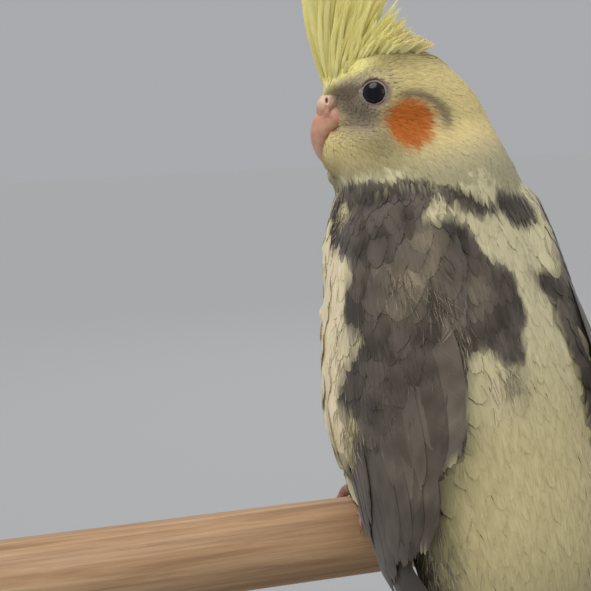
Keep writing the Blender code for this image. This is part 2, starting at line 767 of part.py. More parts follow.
def make_stand(perch):
    base = cylinder("stand_base", BASE_RADIUS, BASE_THICKNESS, UP * (BASE_THICKNESS / 2 - PERCH_TOP), BOARD, 44)
    made = [base]
    low = BASE_THICKNESS - PERCH_TOP + GAP
    for name, at in (("stand_rod_l", -ROD_AT), ("stand_rod_r", ROD_AT)):
        high = -PERCH_RADIUS
        middle = PERCH_DIRECTION * at + UP * ((low + high) / 2)
        rod = cylinder(name, ROD_RADIUS, high - low, middle, STEEL, 16)
        made.append(cut_by(rod, perch))
    return made


def main():
    whole = make_body()
    head_cut = (head_point(12, 0, -18.5), head_point(-32, 0, -11.0))
    neck_cut = (Vector((0, 18, 83.0)), Vector((0, -34, 89.0)))
    head = make_head(whole)
    neck = halved(whole, "neck", above=plane(*neck_cut, GAP / 2), below=plane(*head_cut, -GAP / 2))
    torso = halved(whole, "torso", below=plane(*neck_cut, -GAP / 2))

    eyes = [make_eye(name, place) for name, (_, place) in zip(("eye_l", "eye_r"), eye_places())]
    cut_by(head, *eyes)
    keep_largest(head)

    cere = cut_by(make_cere(), head)
    bill_upper = cut_by(make_bill_upper(), head, cere)
    bill_lower = cut_by(make_bill_lower(), bill_upper, head)
    crest = cut_by(make_crest(), head, cere)
    for obj in (cere, bill_upper, bill_lower, crest):
        keep_largest(obj)

    tail = keep_largest(cut_by(make_tail(), torso))
    wings = [make_wing("wing_l", 1, 21), make_wing("wing_r", -1, 35)]
    for wing in wings:
        keep_largest(cut_by(wing, whole, tail))

    perch = make_perch()
    feet = [make_foot("foot_l", 1), make_foot("foot_r", -1)]
    keep_largest(cut_by(torso, *feet))
    legs = [make_leg("leg_l", 1), make_leg("leg_r", -1)]
    for leg, foot in zip(legs, feet):
        keep_largest(cut_by(leg, torso, foot))
    stand = make_stand(perch)

    bpy.data.objects.remove(whole)
    lift = bpy.data.objects.new("perch_height", None)
    lift.location = (0, 0, PERCH_TOP * MM)
    bird.objects.link(lift)
    parts = [head, neck, torso, *eyes, cere, bill_upper, bill_lower, crest, tail, *wings, perch]
    for obj in parts + feet + legs + stand:
        obj.parent = lift
        obj.data.shade_smooth()
        obj.data.set_sharp_from_angle(angle=math.radians(38))


main()
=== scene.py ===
import math

import bmesh
import bpy
import numpy as np
from mathutils import Matrix, Vector
from mathutils.bvhtree import BVHTree


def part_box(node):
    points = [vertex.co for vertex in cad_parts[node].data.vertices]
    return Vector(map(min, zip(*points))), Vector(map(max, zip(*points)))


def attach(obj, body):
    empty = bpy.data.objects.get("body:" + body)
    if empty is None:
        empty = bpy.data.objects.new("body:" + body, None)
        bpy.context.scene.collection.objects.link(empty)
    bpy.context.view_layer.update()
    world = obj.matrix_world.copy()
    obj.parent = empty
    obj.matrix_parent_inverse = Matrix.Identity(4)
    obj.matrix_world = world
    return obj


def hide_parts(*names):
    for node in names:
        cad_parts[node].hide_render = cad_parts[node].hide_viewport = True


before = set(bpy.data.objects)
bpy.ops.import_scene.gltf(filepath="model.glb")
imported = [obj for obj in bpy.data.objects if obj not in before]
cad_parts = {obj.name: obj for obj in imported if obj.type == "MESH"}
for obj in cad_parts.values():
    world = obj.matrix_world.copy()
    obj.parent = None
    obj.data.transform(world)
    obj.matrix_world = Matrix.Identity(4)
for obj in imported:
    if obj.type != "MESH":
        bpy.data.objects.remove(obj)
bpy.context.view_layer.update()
chance = np.random.default_rng(29)

# The bird is laid out in millimetres from the middle of the perch's top: +Y ahead, -X its left
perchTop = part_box("perch")[1].z * 1000
up = np.array([0.0, 0.0, 1.0])
left = np.array([-1.0, 0.0, 0.0])


def unit(v):
    return v / np.maximum(np.linalg.norm(v, axis=-1, keepdims=True), 1e-9)


def smooth(low, high, x):
    # rises from 0 at low to 1 at high with soft ends, or falls where low is the larger
    t = np.clip((x - low) / (high - low), 0, 1)
    return t * t * (3 - 2 * t)


def colour(r, g, b):
    # a colour as it looks on the screen, as the linear values that materials take
    c = np.array([r, g, b]) / 255
    return np.where(c > 0.04045, ((c + 0.055) / 1.055) ** 2.4, c / 12.92)


def worldPoint(p):
    return (np.asarray(p) + [0, 0, perchTop]) * 0.001


# The head looks to the bird's left. u runs ahead from the eyes, w to the head's left, v up
head = {
    "turn": math.radians(60),
    "eyeMiddle": np.array([-10.6, 4.7, 113.0]),
    "eye": (-0.9, 10.2, -0.4),
    "eyeRadius": 4.3,
    "eyeTilt": math.radians(14),
    "billRoot": (13.5, 0.0, -4.5),
}
headForward = np.array([-math.sin(head["turn"]), math.cos(head["turn"]), 0])
headLeft = np.array([-math.cos(head["turn"]), -math.sin(head["turn"]), 0])


def headPoint(u, w, v):
    # from the head's own directions to the bird's; fromHead goes the other way
    u, w, v = (np.asarray(x, float)[..., None] for x in (u, w, v))
    return head["eyeMiddle"] + headForward * u + headLeft * w + up * v


def fromHead(p):
    d = p - head["eyeMiddle"]
    return d @ headForward, d @ headLeft, d[..., 2]


# The photograph's camera, which also tells where on the bird a marking lies. Reach and width are in pixels
shot = {
    "turn": 30.0, "pitch": 8.5, "roll": 2.7, "reach": 930.0, "width": 591,
    "from": np.array([-158.8, -207.0, 97.4]),
}
turn, pitch, roll = (math.radians(shot[k]) for k in ("turn", "pitch", "roll"))
level = np.array([math.sin(turn), math.cos(turn), 0])
aside = np.array([math.cos(turn), -math.sin(turn), 0])
shotAhead = level * math.cos(pitch) - up * math.sin(pitch)
upright = up * math.cos(pitch) + level * math.sin(pitch)
shotRight = aside * math.cos(roll) - upright * math.sin(roll)
shotUp = aside * math.sin(roll) + upright * math.cos(roll)


def photoPlace(p):
    d = p - shot["from"]
    k = shot["reach"] / (d @ shotAhead)
    middle = shot["width"] / 2
    return np.stack([middle + k * (d @ shotRight), middle - k * (d @ shotUp)], -1)


# Meshes
def readBmesh(bm):
    # its vertices, quads and triangles
    bm.verts.index_update()
    places = np.array([v.co[:] for v in bm.verts])
    faces = [[v.index for v in f.verts] for f in bm.faces]
    quads, tris = (np.array([f for f in faces if len(f) == n], int).reshape(-1, n) for n in (4, 3))
    bm.free()
    return places, quads, tris


def addObject(name, data):
    made = bpy.data.objects.new(name, data)
    bpy.context.scene.collection.objects.link(made)
    return made


def paintMesh(mesh, shade):
    layer = mesh.color_attributes.new("plumage", "FLOAT_COLOR", "POINT")
    layer.data.foreach_set("color", np.c_[shade, np.ones(len(shade))].astype(np.float32).ravel())


def makeMesh(name, places, quads, tris, material, maps, shade):
    mesh = bpy.data.meshes.new(name)
    corners = np.concatenate([quads.ravel(), tris.ravel()]).astype(np.int32)
    starts = np.concatenate([np.arange(len(quads)) * 4, len(quads) * 4 + np.arange(len(tris)) * 3])
    mesh.vertices.add(len(places))
    mesh.vertices.foreach_set("co", worldPoint(places).astype(np.float32).ravel())
    mesh.loops.add(len(corners))
    mesh.loops.foreach_set("vertex_index", corners)
    mesh.polygons.add(len(starts))
    mesh.polygons.foreach_set("loop_start", starts.astype(np.int32))
    mesh.update(calc_edges=True)
    for layer, values in maps.items():
        mesh.uv_layers.new(name=layer).uv.foreach_set("vector", values[corners].astype(np.float32).ravel())
    paintMesh(mesh, shade)
    mesh.validate()
    mesh.polygons.foreach_set("use_smooth", np.full(len(mesh.polygons), True))
    mesh.set_sharp_from_angle(angle=math.radians(80))
    mesh.materials.append(material)
    made = addObject(name, mesh)
    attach(made, "root")
    return made


def bmeshPiece(name, bm, material, sharp=None):
    bm.normal_update()
    bmesh.ops.recalc_face_normals(bm, faces=bm.faces)
    mesh = bpy.data.meshes.new(name)
    bm.to_mesh(mesh)
    bm.free()
    mesh.transform(Matrix.Translation((0, 0, perchTop * 0.001)) @ Matrix.Scale(0.001, 4))
    mesh.shade_smooth()
    if sharp:
        mesh.set_sharp_from_angle(angle=math.radians(sharp))
    mesh.materials.append(material)
    made = addObject(name, mesh)
    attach(made, "root")
    return made


def wrappedGrid(around, along, place):
    # a grid bent by place(turn, way) into a closed form; turn and way run from 0 to 1
    bm = bmesh.new()
    bmesh.ops.create_grid(bm, x_segments=around, y_segments=along, size=0.5)
    for v in bm.verts:
        v.co = Vector(place(v.co.x + 0.5, v.co.y + 0.5))
    bmesh.ops.remove_doubles(bm, verts=bm.verts, dist=1e-4)
    bmesh.ops.holes_fill(bm, edges=[e for e in bm.edges if e.is_boundary], sides=0)
    return bm


# Materials
def shaderNodes(name, base, roughness, **sockets):
    material = bpy.data.materials.new(name)
    material.use_nodes = True
    tree = material.node_tree
    shader = tree.nodes["Principled BSDF"]
    shader.inputs["Base Color"].default_value = (*base, 1)
    shader.inputs["Roughness"].default_value = roughness
    for socket, value in sockets.items():
        shader.inputs[socket.replace("_", " ")].default_value = value
    return material, tree, shader


def addNode(tree, kind, values=None, **settings):
    node = tree.nodes.new(kind)
    for key, value in settings.items():
        setattr(node, key, value)
    for key, value in (values or {}).items():
        node.inputs[key].default_value = value
    return node


def ramp(tree, source, stops):
    node = tree.nodes.new("ShaderNodeValToRGB")
    tree.links.new(source, node.inputs[0])
    while len(node.color_ramp.elements) < len(stops):
        node.color_ramp.elements.new(0.5)
    for element, (at, shade) in zip(node.color_ramp.elements, stops):
        element.position = at
        element.color = (*shade, 1)
    return node.outputs[0]


def textured(tree, kind, values, at=None, **settings):
    # a texture or a mapping, read at another node's vector or else on the piece's own Object coordinates
    node = addNode(tree, kind, values, **settings)
    if at is None:
        at = addNode(tree, "ShaderNodeTexCoord").outputs["Object"]
    tree.links.new(at, node.inputs["Vector"])
    return node.outputs[0]


def noise(tree, scale, detail, at=None, **values):
    return textured(tree, "ShaderNodeTexNoise", {"Scale": scale, "Detail": detail, **values}, at)


def painted(tree):
    return addNode(tree, "ShaderNodeVertexColor", layer_name="plumage").outputs[0]


def mixColours(tree, share, below, above, blend="MIX"):
    node = addNode(tree, "ShaderNodeMixRGB", {0: share}, blend_type=blend)
    tree.links.new(below, node.inputs[1])
    tree.links.new(above, node.inputs[2])
    return node.outputs[0]


def relief(tree, shader, height, strength, distance, **settings):
    node = addNode(tree, "ShaderNodeBump", {"Strength": strength, "Distance": distance}, **settings)
    tree.links.new(height, node.inputs["Height"])
    tree.links.new(node.outputs[0], shader.inputs["Normal"])


def roughFrom(tree, shader, source, low, high):
    node = addNode(tree, "ShaderNodeMapRange", {"To Min": low, "To Max": high})
    tree.links.new(source, node.inputs["Value"])
    tree.links.new(node.outputs[0], shader.inputs["Roughness"])


def newGroup(name, inputs, outputs):
    group = bpy.data.node_groups.new(name, "ShaderNodeTree")
    for label, kind, value in inputs:
        group.interface.new_socket(label, in_out="INPUT", socket_type=kind).default_value = value
    for label, kind in outputs:
        group.interface.new_socket(label, in_out="OUTPUT", socket_type=kind)
    return group, group.nodes.new("NodeGroupInput"), group.nodes.new("NodeGroupOutput")


def makeBarbLines():
    # fine lines read from the piece's own map of each feather, along the feather or slanting off its shaft
    group, into, out = newGroup(
        "barbLines",
        [
            ("Colour", "NodeSocketColor", (1, 1, 1, 1)),
            ("Across", "NodeSocketFloat", 1.0),
            ("Along", "NodeSocketFloat", 0.0),
            ("Slant", "NodeSocketFloat", 0.7),
            ("Depth", "NodeSocketFloat", 0.2),
        ],
        [("Colour", "NodeSocketColor"), ("Height", "NodeSocketFloat")],
    )

    def worked(operation, *sources):
        node = addNode(group, "ShaderNodeMath", operation=operation)
        for socket, source in zip(node.inputs, sources):
            if isinstance(source, float):
                socket.default_value = source
            else:
                group.links.new(source, socket)
        return node.outputs[0]

    featherMap = addNode(group, "ShaderNodeUVMap", uv_map="vane")
    split = addNode(group, "ShaderNodeSeparateXYZ")
    group.links.new(featherMap.outputs[0], split.inputs[0])
    slanted = worked("MULTIPLY", worked("ABSOLUTE", split.outputs[0]), into.outputs["Slant"])
    behind = worked("SUBTRACT", split.outputs[1], slanted)
    across = worked("MULTIPLY", split.outputs[0], into.outputs["Across"])
    joined = addNode(group, "ShaderNodeCombineXYZ")
    group.links.new(worked("MULTIPLY_ADD", behind, into.outputs["Along"], across), joined.inputs[0])
    group.links.new(worked("MULTIPLY", split.outputs[1], 0.12), joined.inputs[1])
    fine = {"Scale": 1.0, "Detail": 3.0, "Roughness": 0.65}
    lines = textured(group, "ShaderNodeTexNoise", fine, joined.outputs[0], noise_dimensions="2D")
    strength = worked("MULTIPLY_ADD", worked("SUBTRACT", lines, 0.5), into.outputs["Depth"], 1.0)
    tinted = addNode(group, "ShaderNodeVectorMath", operation="SCALE")
    group.links.new(into.outputs["Colour"], tinted.inputs[0])
    group.links.new(strength, tinted.inputs["Scale"])
    group.links.new(tinted.outputs[0], out.inputs["Colour"])
    group.links.new(lines, out.inputs["Height"])
    return group


barbLines = makeBarbLines()


def featherMaterial(name, roughness, across, along, slant, depth, bump, sheen=0.18):
    material, tree, shader = shaderNodes(
        name, (0.6, 0.6, 0.5), roughness, Specular_IOR_Level=0.22, Sheen_Weight=sheen, Sheen_Roughness=0.5
    )
    values = {"Across": across, "Along": along, "Slant": slant, "Depth": depth}
    group = addNode(tree, "ShaderNodeGroup", values, node_tree=barbLines)
    tree.links.new(painted(tree), group.inputs["Colour"])
    tree.links.new(group.outputs["Colour"], shader.inputs["Base Color"])
    relief(tree, shader, group.outputs["Height"], bump, 0.0002)
    return material


downy = featherMaterial("softFeather", 0.85, 2.0, 0.0, 0.0, 0.45, 0.35)
vaned = featherMaterial("wingVane", 0.72, 0.4, 2.6, 0.8, 0.3, 0.3)
plumed = featherMaterial("crestPlume", 0.8, 2.2, 0.5, 0.5, 0.25, 0.3, 0.5)

skinMaterial, tree, shader = shaderNodes("downySkin", (0.5, 0.5, 0.4), 0.9)
down = noise(tree, 900.0, 3.0)
tree.links.new(mixColours(tree, 0.12, painted(tree), down, "MULTIPLY"), shader.inputs["Base Color"])
relief(tree, shader, down, 0.4, 0.0003)
print("materials for the plumage made")

# Colours of the plumage
plumage = {
    "crest": colour(255, 246, 168),
    "face": colour(213, 196, 137),
    "crown": colour(158, 146, 97),
    "collar": colour(168, 160, 127),
    "lores": colour(170, 155, 132),
    "cheek": colour(174, 94, 28),
    "cheekEdge": colour(112, 101, 80),
    "grey": colour(99, 90, 81),
    "darkGrey": colour(63, 56, 49),
    # colour of the painted highlights on the grey
    "paintedSheen": colour(156, 142, 121),
    "cream": colour(207, 198, 160),
    "rump": colour(201, 188, 140),
    "edge": colour(232, 218, 184),
    "breast": colour(211, 203, 169),
    "tail": colour(192, 183, 142),
}

# Outlines of the markings, by their place in the photograph
greyMarks = [
    # mantle and left wing
    [
        (338, 188), (362, 181), (392, 181), (425, 179), (450, 184), (474, 196), (497, 205), (494, 216),
        (478, 216), (455, 208), (434, 202), (424, 212), (422, 223), (437, 221), (462, 223), (476, 236),
        (484, 254), (509, 268), (519, 292), (527, 314), (520, 340), (530, 358), (512, 366), (484, 350),
        (470, 362), (468, 400), (469, 440), (464, 456), (453, 463), (447, 470), (449, 490), (452, 510),
        (456, 530), (452, 548), (418, 556), (418, 600), (430, 700), (470, 800), (360, 800), (330, 620),
        (372, 560), (350, 510), (346, 490), (348, 460), (360, 432), (352, 412), (340, 410), (336, 396),
        (340, 378), (350, 352), (366, 344), (360, 336), (348, 334), (343, 306), (345, 288), (352, 278),
        (350, 260), (336, 256), (329, 246), (330, 222), (333, 204),
    ],
    # spot between the shoulders
    [
        (496, 187), (512, 192), (528, 200), (538, 212), (538, 226), (522, 229), (510, 222), (497, 207),
    ],
    # right wing
    [
        (531, 186), (541, 210), (554, 236), (560, 264), (545, 274), (528, 270), (540, 290), (554, 302),
        (561, 322), (568, 346), (577, 366), (584, 400), (594, 440), (600, 500), (720, 600), (720, 180),
    ],
]
# Painted highlights and painted shade on the grey: x, y, radius and, for the highlights, strength
greyPaintedHighlights = (
    (428, 242, 13, 0.75), (406, 286, 19, 0.95), (432, 270, 9, 0.7), (385, 312, 14, 0.5), (455, 326, 10, 0.6),
    (470, 296, 24, 0.4), (452, 425, 14, 0.3), (412, 440, 13, 0.4), (420, 492, 12, 0.6), (395, 470, 10, 0.3),
)
# painted shade: darker patches in the grey
greyPaintedShade = (
    (340, 245, 9), (354, 312, 18), (350, 372, 16), (345, 400, 10), (450, 230, 14), (506, 310, 12),
    (404, 560, 16), (372, 522, 18), (512, 205, 12), (370, 200, 12),
)
creamMark = [(345, 202), (350, 220), (341, 224), (337, 214)]
streakMark = [
    (447, 510), (455, 505), (462, 525), (466, 550), (460, 570), (462, 600), (422, 600), (422, 566),
    (438, 556),
]
paleSpot = {"place": (500, 392), "size": (18, 17)}
greySmudge = {"place": (520, 384), "size": (15, 28)}

# Markings of the face, with painted shade under the throat and a painted shadow at the corner of the bill,
# by their place in the head's u and v
faceMarks = {
    # painted shade under the cheek
    "throat": {"place": (-1.0, -13.5), "size": (8.0, 6.0)},
    "cheekRim": {"place": (-9.5, -8.5), "size": (9.2, 7.4)},
    "lores": {"place": (2.6, -0.6), "size": (8.4, 4.8)},
    "belowEye": {"place": (3.5, -7.4), "size": (6.5, 3.8)},
    # painted shadow at the corner of the bill
    "gapePaintedShadow": {"place": (3.0, -6.2), "size": (4.6, 2.4)},
}


def reachInside(outline, at):
    # distance in from an outline, below zero outside it
    a = np.array(outline, float)
    b = np.roll(a, -1, 0)
    nearest = np.full(len(at), 1e9)
    inside = np.zeros(len(at), bool)
    for p, q in zip(a, b):
        along = q - p
        t = np.clip(((at - p) @ along) / (along @ along), 0, 1)
        nearest = np.minimum(nearest, np.linalg.norm(at - p - t[:, None] * along, axis=1))
        crosses = (p[1] > at[:, 1]) != (q[1] > at[:, 1])
        inside ^= crosses & (at[:, 0] < p[0] + (at[:, 1] - p[1]) / (q[1] - p[1] + 1e-12) * along[0])
    return np.where(inside, nearest, -nearest)


waves = [
    (unit(chance.normal(size=3)) * 2 * math.pi / chance.uniform(0.7, 1.6), chance.uniform(0, 6.3))
    for _ in range(14)
]


def mottle(p, size):
    # a smooth random field from -1 to 1 with spots of about that size
    return sum(np.sin(p @ (k / size) + s) for k, s in waves) / 4.5


def mix(a, b, t):
    return a + (b - a) * np.clip(t, 0, 1)[:, None]


def ovalReach(a, b, place, size):
    # 0 in the middle of an oval, 1 on its rim
    return np.hypot((a - place[0]) / size[0], (b - place[1]) / size[1])


def softSpot(a, b, place, size):
    return np.exp(-(ovalReach(a, b, place, size) ** 2))


def greyShare(p, at, front):
    grey = np.zeros(len(p))
    for outline in greyMarks:
        grey = np.maximum(grey, smooth(-2.0, 2.0, reachInside(outline, at)))
    grey *= 1 - smooth(-1.5, 1.5, reachInside(creamMark, at))
    streaked = smooth(-3, 3, reachInside(streakMark, at))
    grey = grey * (1 - streaked) + streaked * smooth(-0.3, 0.8, mottle(p, 1.6)) * 0.5
    smudge = np.exp(-(ovalReach(*at.T, **greySmudge) ** 3))
    grey = np.maximum(grey, smudge * (0.36 + 0.3 * mottle(p, 2.5)))
    grey *= 1 - front
    patches = smooth(0.5, 0.9, mottle(p * [1, 1, 0.6], 16)) * smooth(10, 22, p[:, 0])
    return np.maximum(grey, front * patches * 0.5)


def greyTone(p, at):
    tone = mix(plumage["grey"], plumage["darkGrey"], smooth(-0.6, 0.7, mottle(p, 8)))
    # painted highlights: sheens of light laid on the grey in a paler brownish colour
    for x, y, r, strength in greyPaintedHighlights:
        sheen = strength * softSpot(*at.T, (x, y), (r, r))
        tone = mix(tone, plumage["paintedSheen"], sheen * (1 + 0.3 * mottle(p, 2.5)))
    # painted shade: darker patches pulled towards a darker copy of the dark grey
    for x, y, r in greyPaintedShade:
        tone = mix(tone, plumage["darkGrey"] * 0.8, 0.8 * softSpot(*at.T, (x, y), (r, r)))
    return tone


def faceColour(p):
    u, w, v = fromHead(p)
    face = mix(plumage["face"], plumage["collar"], smooth(-13, -24, v + 0.15 * u))
    # painted shade: the throat, under the cheek, is darkened by up to 0.6
    face = face * (1 - 0.6 * softSpot(u, v, **faceMarks["throat"]))[:, None]
    face = mix(face, plumage["crown"], smooth(3, 9, v) * smooth(-26, -6, u))
    face = mix(face, plumage["crest"], smooth(0.5, 5, v + 0.45 * (u - 8)) * smooth(-6, 6, u))
    rim = ovalReach(u, v, **faceMarks["cheekRim"])
    rimU, rimV = faceMarks["cheekRim"]["place"]
    bearing = np.degrees(np.arctan2(v - rimV, -(u - rimU)))  # 0 behind the cheek patch, 90 above it
    arc = smooth(-35, 5, bearing) * smooth(130, 95, bearing)
    face = mix(face, plumage["cheekEdge"], 0.9 * arc * np.exp(-(((rim - 0.98) / 0.2) ** 2)))
    lores = smooth(1.3, 0.7, ovalReach(u, v, **faceMarks["lores"])) * smooth(-7, -1, u)
    below = softSpot(u, v, **faceMarks["belowEye"])
    face = mix(face, plumage["lores"], np.maximum(lores, below) * smooth(14.5, 11.5, u))
    # painted shadow: a darker copy of the lores colour at the corner of the bill
    face = mix(face, plumage["lores"] * 0.45, 0.9 * softSpot(u, v - 0.25 * u, **faceMarks["gapePaintedShadow"]))
    brow = np.exp(-(((np.hypot(u + 0.9, v + 0.4) - 5.6) / 0.8) ** 2)) * smooth(0, 3, v)
    face = mix(face, plumage["collar"], 0.7 * brow)
    wide = 6.8 + 1.2 * np.clip((v + 8.6) / 6.6, -1, 0.6)
    cheek = ovalReach(u, v, (-9.2, -8.8), (wide, 7.0))
    return mix(face, plumage["cheek"], smooth(1.16, 0.68, cheek + 0.08 * mottle(p, 1.1)))


def plumageColour(p, n):
    # the part of the bird that the photo shows is read there, its far side as a mirror image
    seen = np.einsum("ij,ij->i", n, unit(shot["from"] - p))
    mirrored = p * [-1, 1, 1]
    mirrorSeen = np.einsum("ij,ij->i", n * [-1, 1, 1], unit(shot["from"] - mirrored))
    mirrorSeen = np.where(p[:, 0] > 0, mirrorSeen, -1)
    use = np.where(((seen > -0.05) | (p[:, 0] < 0))[:, None], p, mirrored)
    at = photoPlace(use) + mottle(p, 3.5)[:, None] * 1.6
    front = smooth(0.10, -0.12, np.maximum(seen, mirrorSeen))
    base = mix(plumage["cream"], plumage["rump"], smooth(60, 20, p[:, 2]))
    # painted shade: below the perch the cream darkens to a 0.7 copy of the rump colour
    base = mix(base, plumage["rump"] * 0.7, smooth(14, -16, p[:, 2]))
    base = mix(base, plumage["edge"], smooth(352, 338, at[:, 0]) * smooth(215, 240, at[:, 1]))
    base = mix(base, plumage["edge"] * 0.85, 0.7 * softSpot(*at.T, **paleSpot))
    base = mix(base, plumage["breast"], front)
    body = mix(base, greyTone(p, at), greyShare(p, at, front))
    return mix(body, faceColour(p), smooth(-0.8, 0.8, collarReach(p) + 1.1 * mottle(p, 2.2)))


def collarReach(p):
    # how far a point lies above the lower edge of the pale collar, which dips to the breast and the nape
    bearing = np.arctan2(p[:, 0] + 2.0, p[:, 1] + 6.0)  # 0 ahead, below zero on the left
    edge = 88.0 - 2.0 * np.cos(bearing) + 3.2 * np.cos(bearing + 2.1)
    edge -= 4.5 * np.exp(-((np.abs(bearing) - 2.75) / 0.3) ** 2)
    return p[:, 2] - edge + 1.2 * mottle(p, 5)


# The skin: the flesh nodes and the cores of wings and tail, as one form
wing = {
    # y, z, lean, half width, reach ahead, reach behind, from shoulder to tip
    "stations": np.array([
        (-9.0, 90.0, 8, 23.0, 20.0, 23.0),
        (-12.0, 77.0, 14, 29.0, 28.5, 24.6),
        (-17.0, 60.0, 18, 32.8, 34.5, 25.2),
        (-22.5, 43.0, 21, 35.2, 38.5, 25.2),
        (-28.0, 26.0, 23, 36.0, 39.5, 24.5),
        (-33.5, 9.0, 24, 34.8, 37.5, 22.5),
        (-38.5, -8.0, 24, 31.6, 33.5, 20.0),
        (-44.0, -26.0, 22, 19.2, 25.5, 16.0),
        (-50.0, -45.0, 20, 12.2, 14.5, 11.0),
        (-55.0, -64.0, 18, 10.0, 8.5, 8.0),
        (-59.5, -82.0, 16, 10.0, 6.5, 6.0),
    ]),
    # station, lower angle, upper angle of the fleshy part
    "core": np.array([
        (0.2, 88, 126), (0.8, 70, 148), (1.6, 62, 150), (2.6, 58, 144), (3.8, 60, 132), (5.0, 66, 118),
    ]),
    "roundness": 2.2,
    "lift": {1: 1.6, -1: 0.4},  # how far the fleshy part reaches out, left and right
}
tail = {
    "root": np.array([0, -46.5, -30.0]),
    "drop": math.radians(75),
    "lengths": (148.0, 127.0, 111.0, 99.0, 89.0, 80.0),
    "coverts": ((4, 64, 3.6), (-4, 50, 3.8), (-12, 36, 3.9)),  # root, tip, half width of each row
    "flesh": {"middle": 18, "reach": 34, "wide": 15.5, "thick": 9.0, "taper": 0.42},
}
tailAlong = np.array([0, -math.cos(tail["drop"]), -math.sin(tail["drop"])])
tailOut = np.array([0, -math.sin(tail["drop"]), math.cos(tail["drop"])])


def between(rows, at):
    # a smooth run through the rows, read at places that may lie between two of them
    at = np.clip(at, 0, len(rows) - 1.0)
    first = np.minimum(at.astype(int), len(rows) - 2)
    f = (at - first)[..., None]
    p, q = rows[np.maximum(first - 1, 0)], rows[first]
    r, s = rows[first + 1], rows[np.minimum(first + 2, len(rows) - 1)]
    return 0.5 * (2 * q + (r - p) * f + (2 * p - 5 * q + 4 * r - s) * f**2 + (3 * q - p - 3 * r + s) * f**3)


def wingPoint(number, angle, lift, side):
    # number is the station; angle 0 points ahead, 90 to the side, 180 back; lift is height over the wing
    y, z, lean, wide, front, back = np.moveaxis(between(wing["stations"], np.asarray(number, float)), -1, 0)
    lean, angle = np.radians(lean), np.radians(angle)
    reach = np.where(np.cos(angle) > 0, front, back)
    n = wing["roundness"]
    r = ((np.abs(np.cos(angle)) / reach) ** n + (np.abs(np.sin(angle)) / wide) ** n) ** (-1 / n)
    centre = np.stack([y * 0, y, z], -1)
    ahead = np.stack([y * 0, np.cos(lean), -np.sin(lean)], -1)
    ray = ahead * np.cos(angle)[..., None] + left * np.sin(angle)[..., None]
    p = centre + ray * (r + lift)[..., None]
    p[..., 0] *= side
    return p


def addForm(bm, place, segments=32, rings=20):
    # a ball bent by place(x, y, z) of its unit coordinates
    made = bmesh.ops.create_uvsphere(bm, u_segments=segments, v_segments=rings, radius=1)
    for v in made["verts"]:
        v.co = Vector(worldPoint(place(*v.co)))


def wingForm(side):
    # the fleshy part of the wing, under its feathers
    def place(x, y, z):
        share = (math.asin(max(-1, min(1, z))) / math.pi + 0.5) * 5
        number, low, high = between(wing["core"], np.array(share))
        turn = math.atan2(y, x)
        flat = min(1, math.hypot(x, y) * 3)
        across = math.copysign(abs(math.cos(turn)) ** 0.6, math.cos(turn)) * flat
        outer = math.copysign(abs(math.sin(turn)) ** 0.5, math.sin(turn)) * min(1, math.hypot(x, y) * 2)
        lift = -3.4 + (wing["lift"][side] + 3.4) * outer
        return wingPoint(number, np.array((low + high) / 2 + (high - low) / 2 * across), lift, side)

    return place


def wingPlace(p):
    # the wing station and the angle round it that a point lies at
    numbers = np.arange(0, 9.01, 0.1)
    rows = between(wing["stations"], numbers)
    lean = np.radians(rows[:, 2])
    downY, downZ = -np.sin(lean), -np.cos(lean)
    gap = np.abs(p[:, 1:2] * downY + p[:, 2:] * downZ - (rows[:, 0] * downY + rows[:, 1] * downZ))
    best = gap.argmin(1)
    ahead = (p[:, 1] - rows[best, 0]) * np.cos(lean[best]) - (p[:, 2] - rows[best, 1]) * np.sin(lean[best])
    return numbers[best], np.degrees(np.arctan2(np.abs(p[:, 0]), ahead))


# Cheeks and chin that fluff out over the lower half of the bill: u, w, v of the middle, then the three sizes
puffs = (
    (6.6, 6.4, -15.8, 8.2, 5.4, 8.6),
    (6.6, -6.4, -15.8, 8.2, 5.4, 8.6),
    (4.6, 0.0, -21.2, 9.2, 8.0, 6.0),
)


def puffForm(middle, sizes):
    def place(x, y, z):
        return headPoint(middle[0] + sizes[0] * x, middle[1] + sizes[1] * y, middle[2] + sizes[2] * z)

    return place


def tailForm(x, y, z):
    # the fleshy root of the tail
    flesh = tail["flesh"]
    slim = 1 - flesh["taper"] * (z + 1) / 2
    along = tailAlong * (flesh["middle"] + flesh["reach"] * z)
    wide = np.array([flesh["wide"] * x * slim, 0, 0])
    return tail["root"] + along + wide + tailOut * (flesh["thick"] * y * slim)


# The down of the flank, which fills the space beside the folded blade: its middle and sizes
flank = {"middle": (22.2, -34.5, -2), "sizes": (6.3, 10, 14)}


def flankForm(side):
    def place(*at):
        x, y, z = (m + size * a for m, size, a in zip(flank["middle"], flank["sizes"], at))
        return np.array([-side * x, y, z])

    return place


# How far the nodes swell to close the cuts between them and the grain of the skin, both in metres, and
# the passes that smooth it
skinForm = {"swell": 0.0004, "voxel": 0.0009, "relax": 7}


